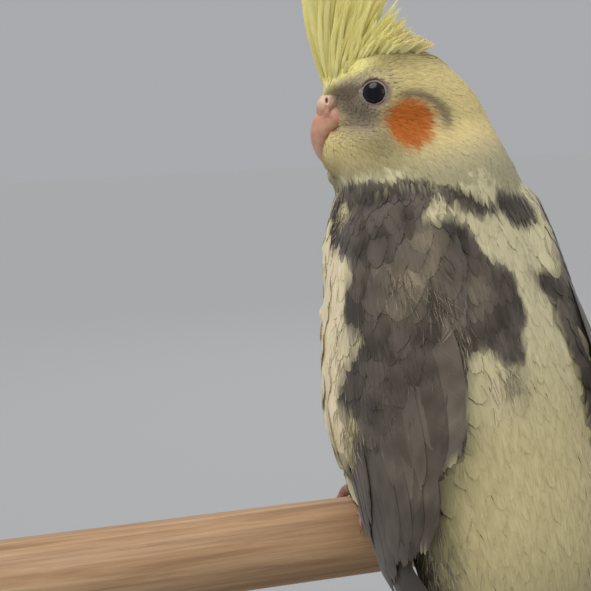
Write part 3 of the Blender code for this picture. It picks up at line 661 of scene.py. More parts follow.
def makeSkin():
    bm = bmesh.new()
    for node in ("head", "neck", "torso", "leg_l", "leg_r"):
        bm.from_mesh(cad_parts[node].data)
    bmesh.ops.remove_doubles(bm, verts=bm.verts, dist=1e-6)
    bm.normal_update()
    for v, n in [(v, v.normal.copy()) for v in bm.verts]:
        v.co += n * skinForm["swell"]
    for side in (1, -1):
        addForm(bm, wingForm(side), 48, 32)
        addForm(bm, flankForm(side))
    for puff in puffs:
        addForm(bm, puffForm(puff[:3], puff[3:]))
    addForm(bm, tailForm)
    bmesh.ops.recalc_face_normals(bm, faces=bm.faces)
    mesh = bpy.data.meshes.new("skin")
    bm.to_mesh(mesh)
    bm.free()
    skin = addObject("skin", mesh)
    remesh = skin.modifiers.new("oneForm", "REMESH")
    remesh.mode = "VOXEL"
    remesh.voxel_size = skinForm["voxel"]
    relax = skin.modifiers.new("relax", "SMOOTH")
    relax.factor = 0.5
    relax.iterations = skinForm["relax"]
    graph = bpy.context.evaluated_depsgraph_get()
    mesh = bpy.data.meshes.new_from_object(skin.evaluated_get(graph))
    skin.modifiers.clear()
    skin.data = mesh
    return skin


def meshArrays(mesh):
    # its vertices in the script's own millimetres, their normals and its triangles
    mesh.calc_loop_triangles()

    def read(items, key, kind):
        values = np.zeros(len(items) * 3, kind)
        items.foreach_get(key, values)
        return values.reshape(-1, 3)

    at, facing = (read(mesh.vertices, key, np.float32).astype(float) for key in ("co", "normal"))
    return at * 1000 - [0, 0, perchTop], facing, read(mesh.loop_triangles, "vertices", np.int32)


skin = makeSkin()
places, normals, tris = meshArrays(skin.data)
tilted = headForward * math.sin(head["eyeTilt"])
eyeFacing = {side: headLeft * side * math.cos(head["eyeTilt"]) + tilted for side in (1, -1)}
eyeAt = {side: headPoint(head["eye"][0], head["eye"][1] * side, head["eye"][2]) for side in (1, -1)}


def fromEye(p, side, ahead):
    return np.linalg.norm(p - eyeAt[side] - eyeFacing[side] * ahead, axis=1)


def narrowFace(p):
    # the face draws in to the bill's own width between the cere and the gape
    u, w, v = fromHead(p)
    widest = np.interp(u, [-2.0, 1.0, 4.0, 7.0, 9.0, 9.8, 10.6], [20.0, 13.6, 9.3, 6.2, 5.5, 4.2, 3.3])
    widest = widest + 0.6 * np.exp(-(((v + 7.0) / 1.6) ** 2)) * smooth(10.4, 9.2, u)
    strength = smooth(-11.5, -8.0, v) * smooth(2.2, -0.6, v) * (np.abs(w) > widest)
    return p + headLeft * (strength * np.sign(w) * (widest - np.abs(w)))[:, None]


# How much fuller the photo shows the left wing's fore edge than the solids, by the wing's station
leftFullness = (
    (0, 0.5), (0.5, 3.4), (1, 5.6), (1.6, 5.6), (2, 5.3), (3, 6.2), (4, 8.0), (4.5, 9.5), (5, 7), (5.7, 0),
)


def coatDepth(p):
    # how far the skin lies below the solids' own surface, so that the coat comes out level with it
    number, angle = wingPlace(p)
    fuller = np.exp(-(((angle - 54 + 5 * smooth(3.4, 4.4, number)) / 15) ** 2))
    fuller *= np.interp(number, *zip(*leftFullness))
    depth = 1.1 + 0.7 * smooth(104, 84, p[:, 2]) - fuller * (p[:, 0] < 0) * smooth(92, 86, p[:, 2])
    for side in (1, -1):
        depth *= 0.25 + 0.75 * smooth(3.5, 7.0, fromEye(p, side, 3))
    return depth


places = narrowFace(places) - normals * coatDepth(places)[:, None]
skin.data.vertices.foreach_set("co", worldPoint(places).astype(np.float32).ravel())
skin.data.update()
places, normals, tris = meshArrays(skin.data)
print("skin made:", len(tris), "triangles")


def bodyUnwrap(p):
    # round the body's own axis and along it, each part of the skin at a place of its own
    along = (p - [0, -8, 128]) @ unit(np.array([0, -38.0, -114.0]))
    bearing = np.arctan2(p[:, 0], p[:, 1] - np.interp(along, [0, 40, 160, 220], [-4, -8, -40, -52]))
    across = 0.04 + 0.90 * (bearing / (2 * math.pi) + 0.5)
    return np.stack([across, 0.97 - 0.92 * np.clip(along / 225, 0, 1)], -1)


def paintSkin():
    shade = plumageColour(places, normals) * 0.9
    for side in (1, -1):
        shade = mix(shade, colour(150, 128, 112), smooth(4.8, 3.8, fromEye(places, side, 3)))
    paintMesh(skin.data, shade)
    corners = np.zeros(len(skin.data.loops), np.int32)
    skin.data.loops.foreach_get("vertex_index", corners)
    starts = np.zeros(len(skin.data.polygons), np.int32)
    skin.data.polygons.foreach_get("loop_start", starts)
    uv = bodyUnwrap(places)[corners]
    first = np.repeat(uv[starts, 0], np.diff(np.append(starts, len(corners))))
    uv[:, 0] += 0.90 * (uv[:, 0] < first - 0.45) * (uv[:, 0] < 0.09)  # faces over the seam stay whole
    layer = skin.data.uv_layers.new(name="OFBake")
    layer.uv.foreach_set("vector", uv.astype(np.float32).ravel())
    skin.data.materials.clear()
    skin.data.materials.append(skinMaterial)
    skin.data.shade_smooth()
    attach(skin, "root")
    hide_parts("head", "neck", "torso", "leg_l", "leg_r", "wing_l", "wing_r", "tail", "crest")


paintSkin()
surface = BVHTree.FromPolygons([Vector(p) for p in places], tris.tolist())


# Feather shapes, in their own coordinates: along from 0 to 1, across from -1 to 1, up in thicknesses
def grow(bm, faces, reach, **settings):
    # extrudes faces and lifts what grew; gives back the new faces
    grown = bmesh.ops.extrude_face_region(bm, geom=faces, **settings)["geom"]
    bmesh.ops.translate(bm, verts=[g for g in grown if isinstance(g, bmesh.types.BMVert)], vec=(0, 0, reach))
    return [g for g in grown if isinstance(g, bmesh.types.BMFace)]


def makeBarb(rings):
    bm = bmesh.new()
    bmesh.ops.create_circle(bm, cap_ends=True, segments=3, radius=1)
    face = bm.faces[:]
    for _ in range(rings):
        face = grow(bm, face, 1 / rings)
    bmesh.ops.pointmerge(bm, verts=face[0].verts[:], merge_co=(0, 0, 1))
    bmesh.ops.recalc_face_normals(bm, faces=bm.faces)
    return readBmesh(bm)


def leaf(columns, rows, outline, roundTip, teeth, loose=0, splits=0):
    # a soft feather: a low lens with barbs that part at its tip, and loose ones beside them
    bm = bmesh.new()
    bmesh.ops.create_grid(bm, x_segments=columns, y_segments=rows, size=1)
    jitter = chance.uniform(-1, 1, columns + 1)
    parted = {(chance.integers(1, columns), chance.integers(rows // 2, rows)) for _ in range(splits)}
    rim = {v for v in bm.verts if v.is_boundary}
    for v in bm.verts:
        column, row = round((v.co.x + 1) / 2 * columns), round((v.co.y + 1) / 2 * rows)
        s, t = v.co.x, row / rows
        along = t * (1 - roundTip * s * s * t)
        across = s * np.interp(t, *zip(*outline))
        if row == rows:
            along += teeth * (0.25 * jitter[column] - (0.75 if column % 2 else 0))
            across *= 1 + 0.08 * jitter[column]
        if (column, row) in parted:
            across += 0.35 / columns * (1 if column % 2 else -1)
        shaft = 0.5 * math.exp(-((s / 0.16) ** 2)) * (1 - t)
        v.co = (across, along, 0.0 if v in rim else 1.0 + shaft)
    under = bmesh.ops.holes_fill(bm, edges=[e for e in bm.edges if e.is_boundary], sides=0)["faces"]
    bmesh.ops.triangulate(bm, faces=under, ngon_method="EAR_CLIP")
    bm.normal_update()
    bmesh.ops.recalc_face_normals(bm, faces=bm.faces)
    xyz, quads, tris = readBmesh(bm)
    parts = [(xyz[:, [1, 0, 2]], quads, tris)]
    barb, barbQuads, barbTris = makeBarb(2)
    a = barb[:, 2]
    full = np.interp(a, [0, 0.5, 1], [1.0, 0.8, 0.0])
    for _ in range(loose):
        s = chance.uniform(-1, 1)
        start, reach = chance.uniform(0.3, 0.7), chance.uniform(0.92, 1.17) - roundTip * s * s
        across = s * (0.75 + 0.35 * a) + barb[:, 0] * 0.035 * full + chance.uniform(-0.12, 0.12) * a
        high = 0.6 + barb[:, 1] * 0.4 * full + 2.2 * a
        parts.append((np.stack([start + (reach - start) * a, across, high], -1), barbQuads, barbTris))
    return joinShapes(parts)


def joinShapes(parts):
    places, quads, tris = zip(*parts)
    shifts = np.cumsum([0] + [len(p) for p in places])
    quads = [q + shift for q, shift in zip(quads, shifts)]
    tris = [t + shift for t, shift in zip(tris, shifts)]
    return np.concatenate(places), np.concatenate(quads), np.concatenate(tris)


def vane(rows, columns, outline, skew, splits):
    # a closed plate with a raised shaft, a wavy surface and a few splits in its edges
    bm = bmesh.new()
    bmesh.ops.create_grid(bm, x_segments=columns, y_segments=rows, size=1)
    grow(bm, bm.faces[:], 1, use_keep_orig=True)
    bmesh.ops.recalc_face_normals(bm, faces=bm.faces)
    xyz, quads, tris = readBmesh(bm)
    x, way, top = xyz[:, 0], (xyz[:, 1] + 1) / 2, xyz[:, 2]
    wide = np.interp(way, *zip(*outline))
    wide = wide * np.where(x > 0, 1 + skew, 1 - skew)
    pulled = np.ones(len(x))
    for at, side, deep in splits:
        pulled -= deep * (np.abs(way - at) < 0.6 / rows) * (x * side > 0.7)
    along = way - 0.10 * (1 - way) * np.abs(x)
    ripple = 0.35 * np.sin(34 * along + 5 * np.abs(x)) * np.abs(x) * np.sin(math.pi * way)
    shaft = 0.9 * np.exp(-((x / 0.12) ** 2)) * (1 - 0.6 * way)
    thick = np.clip(1.15 - np.abs(x) ** 3, 0.15, 1)
    height = np.where(top > 0.5, 0.5 * thick + shaft, -0.5 * thick) + ripple
    return np.stack([along, x * wide * pulled, height], -1), quads, tris


def curveAcross(spine, outs, halfWidth, station=3):
    # how fast the skin falls away on each side of a feather, so that the feather can follow it
    ahead = unit(spine[:, station + 1] - spine[:, station - 1])
    sides = unit(np.cross(ahead, outs[:, station]))
    own = 0.45  # about the feather's own height over the skin there
    flattest, roundest = 0.018, 0.16
    falls = []
    for way in (-1, 1):
        beside = spine[:, station] + sides * (way * halfWidth)[:, None]
        near = np.array([surface.find_nearest(Vector(q))[0][:] for q in beside])
        drop = np.einsum("ij,ij->i", beside - near, outs[:, station]) - own
        falls.append(np.clip(drop / halfWidth**2, flattest, roundest))
    return np.stack(falls, -1)


def layFeathers(shapes, spine, outs, halfWidth, thickness, camber):
    # bends each feather shape along its own spine, given with its outward directions
    count, steps = spine.shape[:2]
    which = chance.integers(0, len(shapes), count)
    ahead = unit(np.gradient(spine, axis=1))
    sides = unit(np.cross(ahead, outs))
    camber = np.broadcast_to(camber, (count, 2))
    parts, owner, local = [], [], []
    for s, (shape, quads, tris) in enumerate(shapes):
        mine = np.nonzero(which == s)[0]
        if not len(mine):
            continue
        at = np.clip(shape[:, 0], 0, 1.2) * (steps - 1)
        first = np.clip(at.astype(int), 0, steps - 2)
        f = (at - first)[None, :, None]

        def along(rows):
            return rows[mine][:, first] * (1 - f) + rows[mine][:, first + 1] * f

        y = shape[None, :, 1] * halfWidth[mine][:, None]
        fall = np.where(y < 0, camber[mine, :1], camber[mine, 1:])
        z = shape[None, :, 2] * thickness - fall * y * y
        p = along(spine) + unit(along(sides)) * y[..., None] + unit(along(outs)) * z[..., None]
        shift = np.arange(len(mine))[:, None, None] * len(shape)
        parts.append((p.reshape(-1, 3), (quads + shift).reshape(-1, 4), (tris + shift).reshape(-1, 3)))
        owner.append(np.repeat(mine, len(shape)))
        local.append(np.tile(shape, (len(mine), 1)))
    return *joinShapes(parts), np.concatenate(owner), np.concatenate(local)


def featherPiece(
    name, laid, shade, root, length, halfWidth, material, slot, patch=0.003, ownPlace=None, facing=None
):
    # shade is each feather's colour; it runs paler to the tip and takes in some of what lies round it
    at, quads, tris, owner, local = laid
    pale = 0.90 + 0.12 * local[:, 0] + chance.normal(0, 0.022, len(length))[owner]
    paint = shade[owner]
    if facing is not None:
        share = 0.5 * np.linalg.norm(facing, axis=1)[owner, None]
        paint = paint * (1 - share) + plumageColour(at, facing[owner]) * share
    paint = paint * pale[:, None]
    rootPlace = bodyUnwrap(root) if ownPlace is None else ownPlace
    bake = rootPlace[owner] + (local[:, :2] * [1, 0.5] - [0.5, 0])[:, ::-1] * patch
    feather = np.stack([local[:, 1] * halfWidth[owner], local[:, 0] * length[owner]], -1)
    feather[:, 1] += (owner * 37.7) % 900  # each feather reads its barbs at a place of its own
    made = makeMesh(name, at, quads, tris, material, {"OFBake": bake, "vane": feather}, np.clip(paint, 0, 1))
    print(name, len(length), "feathers", len(quads) * 2 + len(tris), "triangles")


def joinLaid(gathered):
    # one set of feathers from several, with what belongs to each feather behind it
    shift, base = 0, 0
    pieces = [[], [], [], [], []]
    for (at, quads, tris, owner, local), *_ in gathered:
        for store, part in zip(pieces, (at, quads + shift, tris + shift, owner + base, local)):
            store.append(part)
        shift += len(at)
        base = pieces[3][-1].max() + 1
    return [np.concatenate(x) for x in pieces], *(np.concatenate(x) for x in list(zip(*gathered))[1:])


def ownCells(count, columns):
    # a cell of the bake map for each large feather
    cells = np.arange(count)
    return np.stack([0.06 + (cells % columns) / (columns + 0.6), 0.04 + (cells // columns) / 8.0], -1)


def pickRoots(tries, spacing, keep):
    # random roots on the skin, none nearer to another than its own spacing
    corners = places[tris]
    cross = np.cross(corners[:, 1] - corners[:, 0], corners[:, 2] - corners[:, 0])
    area = np.linalg.norm(cross, axis=1)
    face = chance.choice(len(tris), tries, p=area / area.sum())
    a, b = np.sqrt(chance.random(tries)), chance.random(tries)
    share = np.stack([1 - a, a * (1 - b), a * b], -1)[..., None]
    p, n = (corners[face] * share).sum(1), unit((normals[tris][face] * share).sum(1))
    good = keep(p, n)
    p, n = p[good], n[good]
    reach = spacing(p)
    grid, kept = {}, []
    around = [(x - 1, y - 1, z - 1) for x, y, z in np.ndindex(3, 3, 3)]
    for i, (x, y, z) in enumerate(np.floor(p / reach.max()).astype(int).tolist()):
        near = [j for dx, dy, dz in around for j in grid.get((x + dx, y + dy, z + dz), ())]
        if not near or (((p[i] - p[near]) ** 2).sum(1) >= reach[i] * reach[i]).all():
            kept.append(i)
            grid.setdefault((x, y, z), []).append(i)
    return p[kept], n[kept]


def flow(p):
    # the way the coat lies: back from the bill over the head, down the body, along the tail
    fromBill = unit(p - headPoint(*head["billRoot"]))
    bodyDown = unit(np.array([0, -34.0, -112.0]))
    down = smooth(106, 88, p[:, 2])[:, None]
    d = fromBill * (1 - down) + bodyDown * down
    low = smooth(-14, -34, p[:, 2])[:, None]
    return unit(d * (1 - low) + tailAlong * low)


def walkSpines(p, n, d, length, steps, lifts):
    # feather spines that follow the skin at the given heights
    spine, outs = [], []
    strayed = np.zeros(len(p))
    for k in range(steps):
        t = unit(d - n * np.einsum("ij,ij->i", d, n)[:, None])
        spine.append(p + n * lifts[:, k][:, None])
        outs.append(n)
        step = p + t * (length / (steps - 1))[:, None]
        found = [surface.find_nearest(Vector(q)) for q in step]
        near = np.array([f[0][:] for f in found])
        facing = np.array([f[1][:] for f in found])
        # over an edge of the skin a feather goes straight on
        turnBack = np.einsum("ij,ij->i", facing, n) < 0.2
        facing[turnBack] = n[turnBack]
        drift = np.linalg.norm(near - step, axis=1)
        near[drift > 2.5] = step[drift > 2.5]
        strayed = np.maximum(strayed, drift)
        n = unit(n * 0.5 + facing * 0.5)
        p, d = near, t
    return np.stack(spine, 1), np.stack(outs, 1), strayed


def eyeClear(p, reach):
    return np.all([fromEye(p, side, 3.2) > reach for side in (1, -1)], 0)


def climb(start, rise, shares):
    # heights over the skin along each feather
    return np.c_[np.full(len(rise), start), rise[:, None] * shares]


# The line where the face feathers stop, in u and v: forehead, lores, gape, cheek and chin
billEdge = [
    (12.9, 1.4), (10.7, 0.8), (9.8, -1.4), (9.4, -3.2), (8.9, -4.8), (9.3, -6.9), (10.7, -8.6), (12.9, -9.4),
    (13.9, -13.0), (14.2, -16.4), (24.0, -16.4), (24.0, 1.4),
]


def offTheBill(p):
    u, w, v = fromHead(p)
    return (reachInside(billEdge, np.stack([u, v], -1)) < -0.2) | (np.abs(w) > 8)


# Outlines of the feathers: share of the length, share of the half width
softOutline = [(0, 0.35), (0.3, 0.8), (0.6, 1.0), (0.85, 0.95), (1, 0.8)]
roundOutline = [(0, 0.35), (0.25, 0.75), (0.55, 1.0), (0.85, 0.98), (1, 0.88)]
longOutline = [(0, 0.3), (0.3, 0.75), (0.6, 0.95), (0.85, 0.8), (1, 0.42)]

# Small feathers of the head and neck
headCoat = {
    "tries": 160000, "fine": 0.43, "coarse": 0.9, "shapes": 6,
    "length": 2.0, "longer": {"back": 4.4, "collar": 2.5, "crown": 3.5},
    "half": 0.42, "wider": {"back": 0.7, "crown": 0.25},
    "rise": 0.2, "raised": {"collar": 0.5, "crown": 0.6},
}


def headCrown(p):
    # 1 on the crown and forehead, where the feathers rise towards the crest
    u, w, v = fromHead(p)
    return smooth(2.5, 8.0, v + 0.25 * u) * smooth(9.0, 5.0, np.abs(w)) * smooth(-20, -10, u)


def coatHead():
    def spacing(p):
        away = np.linalg.norm(p - headPoint(9, 0, 0), axis=1)
        return headCoat["fine"] + (headCoat["coarse"] - headCoat["fine"]) * smooth(6, 32, away)

    def keep(p, n):
        return (p[:, 2] > 84) & (collarReach(p) > -0.4) & eyeClear(p, 3.95) & offTheBill(p)

    p, n = pickRoots(headCoat["tries"], spacing, keep)
    u, w, v = fromHead(p)
    away = np.linalg.norm(p - headPoint(10, 0, -1), axis=1)
    crown = headCrown(p)
    low = smooth(4, -2, collarReach(p))
    longer, wider, raised = (headCoat[k] for k in ("longer", "wider", "raised"))
    length = headCoat["length"] + longer["back"] * smooth(4, 34, away)
    length += longer["collar"] * low + longer["crown"] * crown
    length *= chance.uniform(0.85, 1.15, len(p))
    half = headCoat["half"] + wider["back"] * smooth(5, 32, away) + wider["crown"] * crown
    offEye = smooth(4, 8, np.minimum(fromEye(p, 1, 3.2), fromEye(p, -1, 3.2)))
    length *= 0.5 + 0.5 * offEye
    half *= 0.65 + 0.35 * offEye
    d = flow(p) + chance.normal(0, 0.07, p.shape) + up * (0.45 * crown)[:, None]
    rise = headCoat["rise"] + raised["collar"] * low + raised["crown"] * crown
    lifts = climb(-0.22, rise, (0.15, 0.55, 0.95))
    spine, outs, _ = walkSpines(p, n, d, length, 4, lifts)
    shade = plumageColour(p * 0.3 + spine[:, 3] * 0.7, n)
    shapes = [leaf(4, 3, softOutline, 0.34, 0.14, 3, 1) for _ in range(headCoat["shapes"])]
    parts = np.argsort(np.argsort(u)) * 3 // len(u)
    for k, name in enumerate(("headFeathersBack", "headFeathersMiddle", "headFeathersFront")):
        mine = parts == k
        laid = layFeathers(shapes, spine[mine], outs[mine], half[mine], 0.045, 0.03)
        featherPiece(
            name, laid, shade[mine], p[mine], length[mine], half[mine], downy, "head_plumage", facing=n[mine]
        )


coatHead()

# Contour feathers of the body and the coverts of the wings
bodyCoat = {
    "tries": 90000, "spacing": 1.95, "wingSpacing": 3.4, "shapes": 10,
    "length": 10.0, "longer": {"belly": 2.5, "coverts": 4.5},
    "rise": 0.26, "raised": {"coverts": 0.18},
}


def coatBody():
    def onWing(p):
        number, angle = wingPlace(p)
        behind = 152 - 8 * np.maximum(number - 2.4, 0) ** 1.4
        sideways = smooth(50, 60, angle) * smooth(behind, behind - 14, angle)
        return sideways * smooth(0.4, 1.4, number) * smooth(5.6, 4.6, number)

    def keep(p, n):
        number, angle = wingPlace(p)
        inner = np.interp(number, [4.1, 4.6, 5, 6, 8], [116, 104, 94, 84, 80])
        underVanes = (number > 4.1) & (angle > 58) & (angle < inner) & (number < 8)
        return (collarReach(p) < 2.0) & (p[:, 2] > -66) & (p[:, 2] < 96) & ~underVanes

    def legness(p):
        return smooth(12, 4, p[:, 2]) * smooth(-26, -18, p[:, 1])

    def spacing(p):
        covert = onWing(p)
        gap = bodyCoat["spacing"] * (1 - covert) + bodyCoat["wingSpacing"] * covert
        return gap * (1 - 0.35 * legness(p))

    p, n = pickRoots(bodyCoat["tries"], spacing, keep)
    covert = onWing(p)
    d = flow(p) + chance.normal(0, 0.06, p.shape)
    longer = bodyCoat["longer"]
    length = bodyCoat["length"] + longer["belly"] * smooth(60, 0, p[:, 2]) + longer["coverts"] * covert
    length *= 1 - 0.5 * legness(p)
    length *= (1 - 0.25 * smooth(70, 92, p[:, 2])) * chance.uniform(0.85, 1.15, len(p))
    half = length * (0.25 + 0.08 * covert) * chance.uniform(0.9, 1.1, len(p))
    number, angle = wingPlace(p)
    edge = (p[:, 0] < 0) * smooth(44, 52, angle) * smooth(76, 66, angle)  # they lie flat there
    rise = bodyCoat["rise"] + bodyCoat["raised"]["coverts"] * covert
    rise *= chance.uniform(0.8, 1.2, len(p)) * (1 - 0.45 * edge)
    lifts = climb(-0.6, rise, (0.1, 0.5, 0.85, 1.1))
    spine, outs, strayed = walkSpines(p, n, d, length, 5, lifts)
    shade = plumageColour(spine[:, 3], outs[:, 3])
    narrow = [leaf(8, 4, softOutline, 0.45, 0.035, 10, 3) for _ in range(bodyCoat["shapes"])]
    broad = [leaf(12, 5, roundOutline, 0.34, 0.022, 16, 5) for _ in range(bodyCoat["shapes"])]
    front = p[:, 1] > -14 - 0.33 * (60 - p[:, 2])
    parts = {
        "breastFeathersLeft": front & (p[:, 0] < 0),
        "breastFeathersRight": front & (p[:, 0] >= 0),
        "backFeathersLeft": ~front & (p[:, 0] < 0),
        "backFeathersRight": ~front & (p[:, 0] >= 0),
    }
    for name, mine in parts.items():
        mine = mine & (strayed < 1.6)
        gathered = []
        for some, shapes in ((mine & (covert < 0.5), narrow), (mine & (covert >= 0.5), broad)):
            falls = curveAcross(spine[some], outs[some], half[some])
            laid = layFeathers(shapes, spine[some], outs[some], half[some], 0.05, falls)
            gathered.append((laid, shade[some], p[some], length[some], half[some], outs[some, 3]))
        laid, *rest, facing = joinLaid(gathered)
        featherPiece(name, laid, *rest, downy, "body_plumage", facing=facing)


coatBody()

# Loose pale barbs, by their place in the photograph: x, y, spread in x and y, number, length, paleness
wisps = [
    (431, 288, 7, 16, 34, 9.0, 0.75), (456, 330, 5, 16, 40, 8.5, 1.0), (352, 420, 8, 14, 60, 8.5, 1.0),
    (505, 372, 18, 14, 40, 7.0, 1.0), (342, 214, 4, 9, 24, 5.0, 1.0), (436, 560, 12, 26, 110, 8.0, 1.0),
    (402, 280, 12, 12, 30, 8.0, 0.6), (340, 350, 6, 40, 40, 7.0, 0.9), (440, 400, 16, 30, 24, 6.0, 0.4),
]


def layWisps():
    # the skin that the photo shows, from which the roots are drawn
    seen = (np.einsum("ij,ij->i", normals, unit(shot["from"] - places)) > 0.05) & (places[:, 0] < 20)
    near, facing = places[seen], normals[seen]
    at = photoPlace(near)
    sets = []
    for x, y, wide, high, count, length, strength in wisps:
        weight = softSpot(*at.T, (x, y), (wide, high))
        mine = chance.choice(len(near), count, p=weight / weight.sum())
        sets.append((
            near[mine] + chance.normal(0, 0.3, (count, 3)),
            facing[mine],
            length * chance.uniform(0.6, 1.3, count),
            strength * chance.uniform(0.6, 1.1, count),
        ))
    p, n, length, pale = (np.concatenate(x) for x in zip(*sets))
    d = flow(p) + chance.normal(0, 0.25, p.shape)
    lifts = climb(-0.3, chance.uniform(1.0, 1.7, len(p)), (0.5, 0.9, 1.1, 1.5))
    spine, outs, _ = walkSpines(p, n, d, length, 5, lifts)
    xyz, quads, tris = makeBarb(4)
    thin = np.interp(xyz[:, 2], [0, 0.5, 1], [1.0, 0.8, 0.0])
    barb = np.stack([xyz[:, 2], xyz[:, 0] * thin, xyz[:, 1] * thin], -1)
    laid = layFeathers([(barb, quads, tris)], spine, outs, np.full(len(p), 0.07), 0.07, 0)
    shade = mix(plumageColour(spine[:, 3], outs[:, 3]), plumage["edge"], pale)
    featherPiece("looseBarbs", laid, shade, p, length, np.full(len(p), 0.09), downy, "body_plumage")


layWisps()

# Wing feathers in tiers, with the station and angle of the first and last root and of their tips
tiers = {
    "primaries": {
        "count": 9, "half": 5.5, "thick": 0.22, "lift": (-1.9, -0.4), "curl": 2.0, "roll": -32,
        "roots": ((3.6, 60), (4.1, 84)), "tips": ((10.15, 128), (7.4, 112)),
    },
    "secondaries": {
        "count": 8, "half": 5.2, "thick": 0.22, "lift": (-1.8, 0.4), "curl": 1.3, "roll": 5,
        "roots": ((3.0, 64), (3.3, 110)), "tips": ((6.0, 68), (5.42, 108)),
    },
    "tertials": {
        "count": 3, "half": 6.6, "thick": 0.22, "lift": (-1.6, 1.1), "curl": 1.3, "roll": 5,
        "roots": ((2.6, 106), (2.2, 126)), "tips": ((4.95, 105), (4.42, 123.5)),
    },
    "edgeCoverts": {
        "count": 5, "half": 4.2, "thick": 0.20, "lift": (-1.4, 0.7), "curl": 1.3, "roll": 5,
        "roots": ((2.4, 62), (2.9, 76)), "tips": ((5.3, 64), (4.9, 78)),
    },
}
longVane = [(0, 0.45), (0.3, 0.9), (0.65, 1.0), (0.85, 0.82), (0.95, 0.5), (1, 0.12)]
roundVane = [(0, 0.45), (0.3, 0.9), (0.65, 1.0), (0.85, 0.92), (0.95, 0.8), (1, 0.66)]


def wingSpines(root, tip, lift, side, curl, roll, steps=9):
    # spines of one tier over the wing, with the directions that their upper sides face
    f = np.linspace(0, 1, steps)[None]
    number = root[:, :1] + (tip[:, :1] - root[:, :1]) * f
    angle = root[:, 1:] + (tip[:, 1:] - root[:, 1:]) * f**curl
    # the folded blade is slimmest beside its middle
    angle = angle - 5 * np.exp(-((number - 6.2) ** 2)) * smooth(76, 92, angle)
    height = lift[:, :1] + (lift[:, 1:] - lift[:, :1]) * f**0.95
    spine = wingPoint(number, angle, height, side)
    ahead = unit(np.gradient(spine, axis=1))
    about = wingPoint(number, angle + 2, height, side) - wingPoint(number, angle - 2, height, side)
    outward = unit(np.cross(ahead, about))
    centre = np.stack([number * 0, between(wing["stations"], number)[..., 0], spine[..., 2]], -1)
    outward *= np.sign(np.einsum("ijk,ijk->ij", outward, spine - centre))[..., None]
    lean = (np.radians(5 + (roll - 5) * f**2) * side)[..., None]
    return spine, unit(outward * np.cos(lean) + np.cross(ahead, outward) * np.sin(lean))


def makeWingVanes(name, side):
    def edgeSplits():
        # place along the vane, side and depth
        return [
            (chance.uniform(0.35, 0.9), chance.choice([-1, 1]), chance.uniform(0.1, 0.3))
            for _ in range(3)
        ]

    def spread(ends, f):
        return np.array(ends[0]) * (1 - f) + np.array(ends[1]) * f

    longShapes = [vane(26, 9, longVane, 0.18 * side, edgeSplits()) for _ in range(4)]
    roundShapes = [leaf(14, 12, roundVane, 0.16, 0.03, 0, 6) for _ in range(4)]
    gathered = []
    for tier, t in tiers.items():
        blade = tier == "primaries"
        f = np.linspace(0, 1, t["count"])[:, None]
        root, tip = spread(t["roots"], f), spread(t["tips"], f)
        tip += chance.normal(0, (0.05, 0.8), tip.shape)
        rise = 0.22 * np.arange(t["count"])[:, None] * (tier != "edgeCoverts")
        lift = np.array(t["lift"])[None] + rise * [0.3, 1.0]
        half = t["half"] * chance.uniform(0.94, 1.06, len(f))
        spine, outs = wingSpines(root, tip, lift, side, t["curl"], t["roll"])
        laid = layFeathers(longShapes if blade else roundShapes, spine, outs, half, t["thick"], 0.012)
        length = np.linalg.norm(np.diff(spine, axis=1), axis=2).sum(1)
        shade = plumageColour(spine[:, 6], outs[:, 6])
        if blade:
            shade = mix(plumage["grey"], plumage["darkGrey"], np.linspace(0.2, 0.8, len(f)))
        gathered.append((laid, shade, spine[:, 0], length, half, outs[:, 6] * (not blade)))
    laid, *rest, facing = joinLaid(gathered)
    featherPiece(name, laid, *rest, vaned, "wing_plumage", 0.09, ownCells(len(facing), 7), facing)


makeWingVanes("wingVanesLeft", 1)
makeWingVanes("wingVanesRight", -1)


